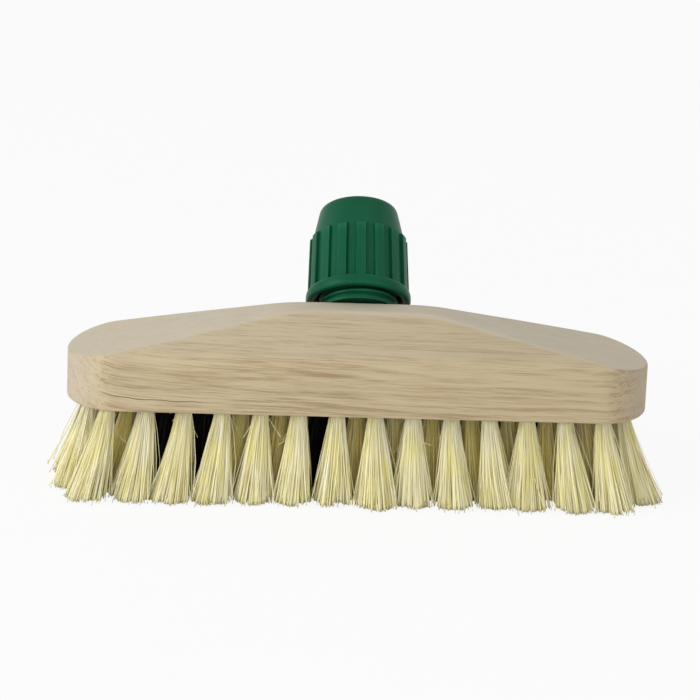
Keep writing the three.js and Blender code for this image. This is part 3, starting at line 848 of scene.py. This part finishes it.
def tuft_fibres(rng, tufts, tuft):
    """Paths, radii and tones of the fibres of one tuft, below the block's underside at height 0."""
    root = np.array(tuft_root(tufts, tuft))
    tip = np.array(tuft_tip(tufts, tuft)) + rng.normal(0, TIP_SCATTER, 2)
    number_of = tufts.fibres
    disc = disc_points(rng, number_of, RIM_SHARE)
    opening = mm(tufts.tip_radius) * rng.uniform(*OPENING_RANGE)
    start = root + disc * mm(tufts.root_radius)
    end = tip + disc * opening * (1 + rng.normal(0, OPENING_SCATTER, (number_of, 1)))

    lock_middle = disc_points(rng, LOCKS) * LOCK_RING
    lock = np.argmin(((disc[:, None] - lock_middle[None]) ** 2).sum(-1), axis=1)
    pull = rng.uniform(*LOCK_PULL, LOCKS)[lock]
    end += (tip + lock_middle[lock] * opening * LOCK_OPENING - end) * pull[:, None]
    loose = np.where(rng.random((number_of, 1)) < LOOSE_SHARE, LOOSE_REACH, HELD_REACH)
    end += np.clip(rng.normal(0, 1, (number_of, 2)), -2, 2) * loose
    short = rng.gamma(*LOCK_SHORT, LOCKS)[lock] + np.abs(rng.normal(0, FIBRE_SHORT, number_of))
    short[rng.random(number_of) < SHORT_SHARE] += SHORT_BY
    tone = rng.beta(*TONE_SPREAD, number_of) * TONE_SHARE + rng.uniform(*LOCK_TONE, LOCKS)[lock]
    tone = np.clip(tone, 0, 1)
    # Painted shade: tufts in among the others, and the middle row's end tufts, get browner, darker
    # tones.
    if abs(tuft[0]) < max(ROWS) and abs(tuft[1]) < LAST_PLACE - 0.5:
        tone *= INNER_SHADE_TONE
    elif tuft[0] == 0:
        tone *= END_SHADE_TONE
    free = fan_paths(rng, start, end, short, FIBRE_BOW)

    stray_number = tufts.strays
    stray_disc = disc_points(rng, stray_number)
    stray_out = stray_disc / np.linalg.norm(stray_disc, axis=1)[:, None]
    stray_start = root + stray_out * mm(tufts.root_radius) * STRAY_ROOT
    stray_end = tip + stray_out * opening * rng.uniform(*STRAY_RANGE, (stray_number, 1))
    strays = fan_paths(rng, stray_start, stray_end, rng.gamma(*STRAY_SHORT, stray_number), STRAY_BOW)
    paths = np.concatenate([free, strays, broken_paths(rng, free, tufts.broken)])
    radii = mm(tufts.fibre_radius) * rng.uniform(*THICKNESS_RANGE, len(paths))
    radii[number_of:] *= STRAY_THICKNESS
    radii[number_of + stray_number:] *= BROKEN_THICKNESS
    tones = np.concatenate([tone, rng.uniform(*STRAY_TONE, len(paths) - number_of)])
    return paths, radii, tones


def broken_paths(rng, free, number_of):
    """Broken fibres that leave a tuft part of the way down and stick out to its side."""
    share = np.linspace(0, 1, free.shape[1])
    start = free[rng.integers(0, len(free), number_of), rng.integers(1, 3, number_of)]
    angle = rng.uniform(0, 2 * math.pi, number_of)
    heading = np.stack([np.cos(angle), 0.5 * np.sin(angle), rng.uniform(*BROKEN_DROP, number_of)], -1)
    reach = share[None, :, None] * rng.uniform(*BROKEN_REACH, number_of)[:, None, None]
    paths = start[:, None] + heading[:, None] * reach
    paths[:, :, 2] += rng.uniform(*BROKEN_SAG, number_of)[:, None] * share ** 2
    return paths


def fan_paths(rng, start, end, short, bow):
    """Fibre paths that leave the block upright and fan out to the floor, with a slight bow."""
    steps = np.array((-ROOTED / TRIM,) + FREE_STEPS)
    flare = FLARE_EVEN * steps + FLARE_LATE * np.abs(steps) ** FLARE_POWER
    flare = np.where(steps > 0, flare, 0)
    side = rng.normal(0, bow, (len(start), 2))
    wave = np.where(steps > 0, np.sin(math.pi * np.clip(steps, 0, 1)), 0)
    plan = start[:, None] + (end - start)[:, None] * flare[None, :, None]
    plan += side[:, None] * wave[None, :, None]
    length = TRIM - FLOOR_MARGIN - np.clip(short, 0, MOST_SHORT)
    height = np.where(steps[None] > 0, -length[:, None] * steps[None], -TRIM * steps[None])
    return np.concatenate([plan, height[:, :, None]], -1)


def strands(paths, radii, twist, sides, taper):
    """Strands with flat sides along their paths, closed at both ends; taper is left at the tip."""
    along = np.gradient(paths, axis=1)
    along /= np.linalg.norm(along, axis=-1, keepdims=True)
    side = np.cross(along, np.array((0.0, 1.0, 0.0)))
    side /= np.linalg.norm(side, axis=-1, keepdims=True)
    other = np.cross(along, side)
    angle = (twist[:, None] + even_angles(sides))[:, None, :, None]
    number_of, steps = paths.shape[:2]
    reach = radii[:, None] * np.linspace(1.0, taper, steps)[None]
    ring = side[:, :, None] * np.cos(angle) + other[:, :, None] * np.sin(angle)
    verts = paths[:, :, None] + ring * reach[:, :, None, None]
    first = (np.arange(number_of) * steps * sides)[:, None]
    corners = np.arange(sides)
    walls = (grid_faces(steps, sides)[None] + first[:, :, None]).reshape(-1, 4)
    tip_cap = first + (steps - 1) * sides + corners[::-1]
    faces = [face for part in (walls, first + corners, tip_cap) for face in part[:, ::-1].tolist()]
    return verts.reshape(-1, 3), faces


def make_tufts(name, members, tufts, material):
    """One object with the fibres of several tufts; its colour layer holds tone, place along and cast."""
    groups = []
    for row, place in members:
        rng = np.random.default_rng((SEED, int(row) + ROW_SEED, int(2 * place) + PLACE_SEED))
        groups.append(tuft_fibres(rng, tufts, (row, place)))
    paths, radii, tones = [np.concatenate(part) for part in zip(*groups)]
    twist = np.random.default_rng(SEED).uniform(0, 2 * math.pi, len(paths))
    verts, faces = strands(paths, radii, twist, FIBRE_SIDES, FIBRE_TAPER)
    mesh = bpy.data.meshes.new(name)
    mesh.from_pydata((verts * MM).tolist(), [], faces)
    mesh.shade_flat()
    corners = paths.shape[1] * FIBRE_SIDES
    along = np.tile(np.repeat((0.0, *FREE_STEPS), FIBRE_SIDES), len(paths))
    cast = np.repeat(np.random.default_rng(SEED + 1).random(len(paths)), corners)
    colours = np.stack([np.repeat(tones, corners), along, cast, 0 * along + 1], -1)
    layer = mesh.attributes.new("fibre", "FLOAT_COLOR", "POINT")
    layer.data.foreach_set("color", colours.astype(np.float32).ravel())
    return placed(name, mesh, BLOCK_PLACE, material)


class BRUSH_OT_tufts(bpy.types.Operator):
    """Makes the rows of pale tufts and the black tufts among them"""

    bl_idname = "brush.make_tufts"
    bl_label = "Fibre tufts"

    def execute(self, context):
        block, tufts, _, _ = settings(context)
        stops = tufts.brown_fibre, tufts.warm_fibre, tufts.pale_fibre
        pale = fibre_finish("pale_fibre", stops, tufts.yellow_fibre, 0.62, 0.22)
        # The palest black fibres are three times as bright as the rest: a painted sheen.
        stops = tufts.black_fibre, tufts.black_fibre, toned(tufts.black_fibre, 3)
        black = fibre_finish("black_fibre", stops, tufts.black_fibre, 0.42, 0.06)
        every = all_tufts(block, tufts)
        for name, (row, *solids) in ROW_PIECES.items():
            members = [tuft for tuft in every if tuft[0] == row and not is_black(tuft)]
            settle(make_tufts(name, members, tufts, pale), "brush_head", "pale_fibre", *solids)
        members = [tuft for tuft in every if is_black(tuft)]
        piece = make_tufts("black_tufts", members, tufts, black)
        settle(piece, "brush_head", "black_fibre", "black_bristles")
        return {"FINISHED"}


WIRE_RADIUS, WIRE_SIDES, WIRE_SHARP = 0.4, 8, 60
STAPLE_SPAN, STAPLE_LEG, BRIDGE_DEPTH = 2.4, 4.0, 0.6


def staple_shape():
    """A wire staple: two legs up into the wood and a round bridge under which the fibres fold."""
    legs = [(-STAPLE_SPAN, 0, STAPLE_LEG), (STAPLE_SPAN, 0, STAPLE_LEG)]
    turns = np.linspace(math.pi, 2 * math.pi, 9)
    bridge = [(STAPLE_SPAN * math.cos(a), 0, STAPLE_SPAN * BRIDGE_DEPTH * math.sin(a)) for a in turns]
    path = np.array([legs[0], *bridge, legs[1]], float)
    return strands(path[None], np.array([WIRE_RADIUS]), np.array([-math.pi / 2]), WIRE_SIDES, 1.0)


class BRUSH_OT_staples(bpy.types.Operator):
    """Makes the wire staple at the bottom of each tuft hole"""

    bl_idname = "brush.make_staples"
    bl_label = "Wire staples"

    def execute(self, context):
        block, tufts, clamp, _ = settings(context)
        places = tuft_places(block, tufts, mm(tufts.hole_depth) - STAPLE_SPAN)
        shape = together([moved(staple_shape(), place) for place in places])
        material = metal_finish("drawn_wire", clamp.wire, 0.4)
        piece = make_object("tuft_staples", shape, BLOCK_PLACE, material, WIRE_SHARP)
        settle(piece, "brush_head", "zinc_steel")
        return {"FINISHED"}


# Screw clamp, along its own axis from the bevel

SPIGOT_RADIUS, SPIGOT_DEPTH = 12.0, 16.0
SOCKET_WALL, SOCKET_HEIGHT, SOCKET_FLOOR = 5.2, 30.0, 5.0
COLLAR_HEIGHT, NECK_HEIGHT = 2.5, 1.2
STICK_CLEARANCE = 0.3
TIGHTEN_TRAVEL, GRIP_TAPER = 4.5, 0.114
NOSE_WALL, NOSE_LENGTH, NOSE_CLEAR = 1.2, 13.0, 1.0
CATCH, CATCH_LENGTH, CATCH_LIP = 0.65, 6.0, 1.7
SLIT_WIDTH, SLIT_COUNT = 2.0, 6
NUT_FOOT, NUT_WALL, NUT_DRAFT, NUT_CROWN, NUT_LEAD_IN = 5.5, 3.45, 0.85, 5.9, 2.7
FLANGE_HEIGHT, FLANGE_PROUD = 5.3, 2.45
RIB_SHARE, RIB_FLANK, RIB_END = 0.5, 0.03, 0.9
CONE_LENGTH, CONE_SLOPE, CROWN_EASE = 16.4, 0.215, 3.0
CONE_SUPPORT = (0.35, 0.7)
MOUTH_CLEARANCE = 0.45
SCREW_HEAD, SCREW_SHANK, SCREW_LENGTH, SCREW_RIM, SCREW_POINT = 4.6, 2.25, 32.0, 0.4, 5.0
SCREW_LEAD, SCREW_THREAD = 1.8, 0.5
DRIVE_SPAN, DRIVE_WIDTH, DRIVE_DEPTH = 5.0, 1.1, 1.6

# Threads: where each starts and stops short, and the run over which it fades out
SOCKET_THREAD_LOW, SOCKET_THREAD_HIGH, SOCKET_THREAD_RUN = 0.6, 0.4, 1.2
NUT_THREAD_LOW, NUT_THREAD_HIGH, NUT_THREAD_RUN = 1.0, 2.0, 2.0
SCREW_PLAIN, SCREW_STEP, SCREW_THREAD_RUN = 8.0, 7.0, 3.0

# Spacing of the rows that carry threads and ribs
SOCKET_ROW, SCREW_ROW, NUT_ROW, RIB_ROW = 0.35, 0.22, 0.4, 0.1

# Angles past which edges stay crisp, in degrees
SOCKET_SHARP, SCREW_SHARP, GRIP_SHARP, NUT_SHARP = 50, 40, 40, 38

NOSE_FOOT = SOCKET_HEIGHT + NOSE_CLEAR
NOSE_TOP = NOSE_FOOT + NOSE_LENGTH
CATCH_TOP = NOSE_TOP + CATCH_LENGTH
NUT_TOP = CATCH_TOP + GAP + NUT_CROWN
CONE_FOOT = NUT_TOP - CONE_LENGTH
SCREW_TOP = SOCKET_FLOOR - GAP


def clamp_radii(clamp):
    """Radii of the stick's hole and of the grip ring's nose, at its foot and under its catch."""
    bore = mm(clamp.stick_diameter) / 2 + STICK_CLEARANCE
    foot = bore + NOSE_WALL
    return bore, foot, foot + NOSE_LENGTH * GRIP_TAPER


def plain(*corners):
    """Corners (radius, height, ease) of an outline that nothing lifts."""
    return [(radius, height, ease, "plain") for radius, height, ease in corners]


def rows_of(kind, radius, low, high, step):
    """Rows of an outline at one radius, close enough to carry a thread or ribs."""
    steps = max(2, int(abs(high - low) / step) + 1)
    return [(radius, height, 0, kind) for height in np.linspace(low, high, steps)]


def moulded(context, name, finish_name, corners, angles, sharp_angle, lift=None):
    """A green piece of the clamp, turned from a closed outline."""
    block, _, clamp, _ = settings(context)
    shape = turned(eased(corners, True), angles, lift, True)
    return make_object(name, shape, clamp_world(block), plastic_finish(finish_name, clamp), sharp_angle)


class BRUSH_OT_socket(bpy.types.Operator):
    """Makes the socket: spigot, collar, threaded barrel, stick bore and the countersink in its floor"""

    bl_idname = "brush.make_socket"
    bl_label = "Threaded socket"

    def execute(self, context):
        clamp = settings(context)[2]
        bore, nose_foot, _ = clamp_radii(clamp)
        crest = bore + SOCKET_WALL
        root = crest - mm(clamp.thread_depth)
        spigot_foot, collar_top = GAP - SPIGOT_DEPTH, GAP + COLLAR_HEIGHT
        thread_foot = collar_top + NECK_HEIGHT - SOCKET_THREAD_LOW
        seat = SOCKET_HEIGHT - TIGHTEN_TRAVEL
        mouth_foot = nose_foot + GAP
        mouth = mouth_foot + TIGHTEN_TRAVEL * GRIP_TAPER
        hole, head = SCREW_SHANK + GAP, SCREW_HEAD + GAP
        rim = SCREW_TOP - SCREW_RIM
        corners = plain(
            (hole, spigot_foot, 0.3), (SPIGOT_RADIUS, spigot_foot, 1.2), (SPIGOT_RADIUS, GAP, 0.3),
            (crest, GAP, 0.5), (crest, collar_top, 0.9), (root, collar_top, 0.4))
        top_row = SOCKET_HEIGHT - 2 * SOCKET_THREAD_HIGH
        corners += rows_of("thread", root, thread_foot, top_row, SOCKET_ROW)
        corners += plain(
            (root, SOCKET_HEIGHT, 0.5), (mouth, SOCKET_HEIGHT, 0.3), (mouth_foot, seat, 0.3),
            (bore, seat, 0.3), (bore, SOCKET_FLOOR, 0.6), (head, SOCKET_FLOOR, 0.2), (head, rim, 0),
            (hole, rim - SCREW_HEAD + SCREW_SHANK, 0))
        ends = thread_foot, SOCKET_HEIGHT - SOCKET_THREAD_HIGH
        lift = threaded(mm(clamp.thread_depth), mm(clamp.thread_lead), 0, ends, SOCKET_THREAD_RUN)
        piece = moulded(
            context, "green_socket", "green_socket", corners, even_angles(120), SOCKET_SHARP, lift)
        settle(piece, "brush_head", "green_plastic", "threaded_socket")
        return {"FINISHED"}


class BRUSH_OT_screw(bpy.types.Operator):
    """Makes the countersunk screw with its cross recess and thread"""

    bl_idname = "brush.make_screw"
    bl_label = "Fixing screw"

    def execute(self, context):
        block, _, clamp, _ = settings(context)
        root = SCREW_SHANK - SCREW_THREAD
        point = SCREW_TOP - SCREW_LENGTH
        rim = SCREW_TOP - SCREW_RIM
        under = rim - SCREW_HEAD + SCREW_SHANK
        thread_top = under - SCREW_PLAIN
        shares = np.linspace(0.1, 0.95, 16)
        corners = plain((0, point, 0))
        corners += [(root * share, point + SCREW_POINT * share, 0, "thread") for share in shares]
        corners += rows_of("thread", root, point + SCREW_POINT, thread_top, SCREW_ROW)
        corners += plain(
            (SCREW_SHANK, under - SCREW_STEP, 0.3), (SCREW_SHANK, under, 0), (SCREW_HEAD, rim, 0.1),
            (SCREW_HEAD, SCREW_TOP, 0.15), (0, SCREW_TOP, 0))
        lift = threaded(SCREW_THREAD, SCREW_LEAD, 0, (point, thread_top), SCREW_THREAD_RUN, power=2)
        shape = turned(eased(corners), even_angles(40), lift)
        material = metal_finish("zinc_plate", clamp.zinc, 0.32)
        piece = make_object("zinc_screw", shape, clamp_world(block), material, SCREW_SHARP)
        half, width = DRIVE_SPAN / 2, DRIVE_WIDTH / 2
        low, high = SCREW_TOP - DRIVE_DEPTH, SCREW_TOP + 1
        for x, y in ((half, width), (width, half)):
            carve(piece, bar((-x, -y, low), (x, y, high)), SCREW_SHARP)
        settle(piece, "brush_head", "zinc_steel", "fixing_screw")
        return {"FINISHED"}


class BRUSH_OT_grip_ring(bpy.types.Operator):
    """Makes the split grip ring that the nut presses into the socket's mouth"""

    bl_idname = "brush.make_grip_ring"
    bl_label = "Grip ring"

    def execute(self, context):
        bore, foot, top = clamp_radii(settings(context)[2])
        corners = plain(
            (bore, NOSE_FOOT, 0.25), (foot, NOSE_FOOT, 0.3), (top, NOSE_TOP, 0.2),
            (top + CATCH, NOSE_TOP, 0.2), (top + CATCH, CATCH_TOP, 0.5), (bore, CATCH_TOP, 0.6))
        piece = moulded(context, "split_grip_ring", "green_grip", corners, even_angles(96), GRIP_SHARP)
        slits = []
        for i in range(SLIT_COUNT):
            high = CATCH_TOP + 5 if i == 0 else NOSE_TOP
            slit = bar((bore - 4, -SLIT_WIDTH / 2, NOSE_FOOT - 5), (top + 5, SLIT_WIDTH / 2, high))
            slits.append(moved(slit, Matrix.Rotation(2 * math.pi * i / SLIT_COUNT, 4, "Z")))
        carve(piece, together(slits), GRIP_SHARP)
        settle(piece, "grip_ring", "green_plastic", "grip_collet")
        return {"FINISHED"}


def rib_angles(ribs):
    """Angles once round, close together at the flanks of the ribs."""
    flank = RIB_SHARE / 2
    close = (-0.04, -0.018, -0.009, 0.0, 0.009, 0.018, 0.04)
    steps = (0.11, *[flank + step for step in close], 0.36, 0.43)
    shares = sorted([0.0, -0.5, *steps, *[-step for step in steps]])
    return np.array([(i + share) * 2 * math.pi / ribs for i in range(ribs) for share in shares])


class BRUSH_OT_nut(bpy.types.Operator):
    """Makes the clamp nut: round flange, grip ribs, cone, and the thread and groove inside it"""

    bl_idname = "brush.make_nut"
    bl_label = "Clamp nut"

    def execute(self, context):
        clamp = settings(context)[2]
        stick_bore, _, nose_top = clamp_radii(clamp)
        bore = stick_bore + SOCKET_WALL + GAP
        body = bore + NUT_WALL
        flange = body + FLANGE_PROUD
        rib_foot = NUT_FOOT + FLANGE_HEIGHT
        rib_run = CONE_FOOT - RIB_END - rib_foot
        cone = body - NUT_DRAFT
        crown = cone - CONE_LENGTH * CONE_SLOPE
        lip, groove = nose_top + GAP, nose_top + CATCH + GAP
        lip_top, groove_top = NOSE_TOP - GAP, CATCH_TOP + GAP
        lip_foot = lip_top - CATCH_LIP
        mouth = stick_bore + MOUTH_CLEARANCE
        thread_foot = NUT_FOOT + NUT_LEAD_IN + NUT_THREAD_LOW
        thread_top = lip_foot - NUT_THREAD_HIGH
        corners = plain((bore + NUT_LEAD_IN, NUT_FOOT, 0.5), (flange, NUT_FOOT, FLANGE_PROUD))
        corners += [(flange, rib_foot, FLANGE_PROUD, "rib"), (body, rib_foot, 0.3, "rib")]
        for share in np.linspace(0.1, 1.0, 8):
            corners.append((body - NUT_DRAFT * share, rib_foot + rib_run * share, 0, "rib"))
        corners += rows_of("rib", cone, CONE_FOOT - 0.8 * RIB_END, CONE_FOOT + 0.1, RIB_ROW)
        corners += plain(*[(cone - CONE_SLOPE * rise, CONE_FOOT + rise, 0) for rise in CONE_SUPPORT])
        corners += plain(
            (crown, NUT_TOP, CROWN_EASE), (mouth, NUT_TOP, 0.9), (mouth, groove_top, 0.2),
            (groove, groove_top, 0.2), (groove, lip_top, 0.2), (lip, lip_top, 0.2),
            (lip, lip_foot, 0.3), (bore, lip_foot, 0.4))
        corners += rows_of("thread", bore, thread_top, thread_foot, NUT_ROW)
        corners += plain((bore, NUT_FOOT + NUT_LEAD_IN, 0.3))
        pitch = 2 * math.pi / clamp.ribs
        half, flank = RIB_SHARE / 2, RIB_FLANK / 2
        lead = mm(clamp.thread_lead)
        ends = thread_foot, thread_top
        thread = threaded(-mm(clamp.thread_depth), lead, lead / 2, ends, NUT_THREAD_RUN)

        def lift(kinds, radius, height, angle):
            """Ribs outside, from the flange to rounded ends at the cone, and the thread inside."""
            share = angle / pitch
            off_middle = np.abs(share - np.floor(share + 0.5))
            rib = 1 - smooth_step(half - flank, half + flank, off_middle)
            end = np.sqrt(np.clip((CONE_FOOT - height) / RIB_END, 0, 1))
            proud = np.minimum(radius, body) + mm(clamp.rib_height) * rib * end - radius
            ribbed = np.where(kinds == "rib", np.maximum(proud, 0), 0)
            return ribbed + thread(kinds, radius, height, angle)

        piece = moulded(
            context, "green_clamp_nut", "green_nut", corners, rib_angles(clamp.ribs), NUT_SHARP, lift)
        settle(piece, "nut", "green_plastic", "clamp_nut")
        return {"FINISHED"}


# Stage; lamps in metres, the floor in millimetres

WHITE = (1, 1, 1, 1)
FLOOR_DARK, FLOOR_PALE = (0.90, 0.90, 0.90, 1), (0.92, 0.92, 0.92, 1)
FLOOR_HALF, FLOOR_SPECK, FLOOR_GLOW = 6000.0, 0.02, 0.90
KEY_PLACE, KEY_SIDE = (-1.86, -1.10, 0.85), 1.4
FILL_PLACE, FILL_SIDE = (0.60, -2.10, 0.45), 1.2
IMAGE_SIDE, SENSOR_WIDTH, CLIP_END = 700, 36, 50


def seen(finish):
    """1 on rays of the camera, of reflections and through clear things, else 0."""
    path = finish.node("ShaderNodeLightPath").outputs
    indirect = finish.math("MAXIMUM", path["Is Glossy Ray"], path["Is Transmission Ray"])
    return finish.math("MAXIMUM", path["Is Camera Ray"], indirect)


def floor_finish():
    """White floor that shows as a white background to the camera and keeps a soft shadow."""
    finish = new_finish("white_floor")
    speck = finish.between(finish.noise(finish.own_millimetres(), FLOOR_SPECK), 0.3, 0.7)
    diffuse = finish.node("ShaderNodeBsdfDiffuse", {"Color": finish.mix(speck, FLOOR_DARK, FLOOR_PALE)})
    glow = finish.node("ShaderNodeEmission", {"Color": WHITE, "Strength": 1.0})
    share = finish.product(seen(finish), FLOOR_GLOW)
    mixed = finish.node("ShaderNodeMixShader", {0: share, 1: diffuse.outputs[0], 2: glow.outputs[0]})
    finish.node("ShaderNodeOutputMaterial", {"Surface": mixed.outputs[0]})
    return finish.owner


def white_sky(strength):
    """Even white light, and plain white behind the brush."""
    sky = Finish(bpy.data.worlds.new("white_room"))
    level = sky.node("ShaderNodeMapRange", {"Value": seen(sky), "To Min": strength, "To Max": 1.0})
    back = sky.node("ShaderNodeBackground", {"Color": WHITE, "Strength": level.outputs[0]})
    sky.node("ShaderNodeOutputWorld", {"Surface": back.outputs[0]})
    bpy.context.scene.world = sky.owner


def lamp(name, place, side, power):
    """A square soft lamp turned towards the middle of the block's underside."""
    light = bpy.data.lights.new(name, "AREA")
    light.shape = "SQUARE"
    light.size = side
    light.energy = power
    turn_part = (BLOCK_PLACE.translation - Vector(place)).to_track_quat("-Z", "Y").to_matrix()
    placed(name, light, Matrix.Translation(place) @ turn_part.to_4x4())


def photo_camera(stage):
    """The camera at the photograph's angle, distance, lens and framing."""
    data = bpy.data.cameras.new("photo_camera")
    data.lens = stage.lens
    data.sensor_width = SENSOR_WIDTH
    data.shift_x = -stage.aim_right / IMAGE_SIDE
    data.shift_y = stage.aim_down / IMAGE_SIDE
    data.clip_end = CLIP_END
    place = Matrix.Translation(BLOCK_PLACE.translation + Vector((0, 0, stage.aim_height)))
    place @= Matrix.Rotation(stage.azimuth, 4, "Z")
    place @= Matrix.Rotation(math.pi / 2 - stage.elevation, 4, "X")
    place @= Matrix.Rotation(stage.roll, 4, "Z")
    place @= Matrix.Translation((0, 0, stage.distance))
    bpy.context.scene.camera = placed("photo_camera", data, place)


class BRUSH_OT_stage(bpy.types.Operator):
    """Makes the floor, the lamps, the white surround and the camera"""

    bl_idname = "brush.make_stage"
    bl_label = "Stage"

    def execute(self, context):
        stage = settings(context)[3]
        corners = [(x * FLOOR_HALF, y * FLOOR_HALF, 0) for x, y in ((-1, -1), (1, -1), (1, 1), (-1, 1))]
        shape = np.array(corners), [(0, 1, 2, 3)]
        floor = make_object("floor", shape, Matrix.Identity(4), floor_finish())
        white_sky(stage.sky)
        lamp("key_lamp", KEY_PLACE, KEY_SIDE, stage.key_power)
        lamp("fill_lamp", FILL_PLACE, FILL_SIDE, stage.fill_power)
        photo_camera(stage)
        context.scene.view_settings.view_transform = "Standard"
        return {"FINISHED"}


class BRUSH_PT_panel(bpy.types.Panel):
    """Lists the brush's settings and the steps that make it"""

    bl_idname = "BRUSH_PT_panel"
    bl_label = "Deck brush"
    bl_space_type = "VIEW_3D"
    bl_region_type = "UI"
    bl_category = "Brush"

    def draw(self, context):
        for group, operators in PANEL_ROWS:
            column = self.layout.column(align=True)
            values = getattr(context.scene, group)
            for key in values.__annotations__:
                column.prop(values, key)
            for operator in operators:
                column.operator(operator.bl_idname)


SETTING_GROUPS = {
    "brush_block": BrushBlockSettings,
    "brush_tufts": BrushTuftSettings,
    "brush_clamp": BrushClampSettings,
    "brush_stage": BrushStageSettings,
}
PANEL_ROWS = (
    ("brush_block", (BRUSH_OT_block,)),
    ("brush_tufts", (BRUSH_OT_tufts, BRUSH_OT_staples)),
    ("brush_clamp", (BRUSH_OT_socket, BRUSH_OT_screw, BRUSH_OT_grip_ring, BRUSH_OT_nut)),
    ("brush_stage", (BRUSH_OT_stage,)),
)
OPERATORS = tuple(operator for _, operators in PANEL_ROWS for operator in operators)


def register():
    """Registers the classes and hangs the settings on the scene."""
    for cls in (*SETTING_GROUPS.values(), *OPERATORS, BRUSH_PT_panel):
        bpy.utils.register_class(cls)
    for key, group in SETTING_GROUPS.items():
        setattr(bpy.types.Scene, key, bpy.props.PointerProperty(type=group))


def unregister():
    """Takes the settings and the classes away again."""
    for key in SETTING_GROUPS:
        delattr(bpy.types.Scene, key)
    for cls in reversed((*SETTING_GROUPS.values(), *OPERATORS, BRUSH_PT_panel)):
        bpy.utils.unregister_class(cls)


def main():
    """Makes the brush and its stage."""
    register()
    bpy.ops.brush.make_stage()
    bpy.ops.brush.make_block()
    bpy.ops.brush.make_tufts()
    bpy.ops.brush.make_staples()
    bpy.ops.brush.make_socket()
    bpy.ops.brush.make_screw()
    bpy.ops.brush.make_grip_ring()
    bpy.ops.brush.make_nut()


if __name__ == "__main__":
    main()
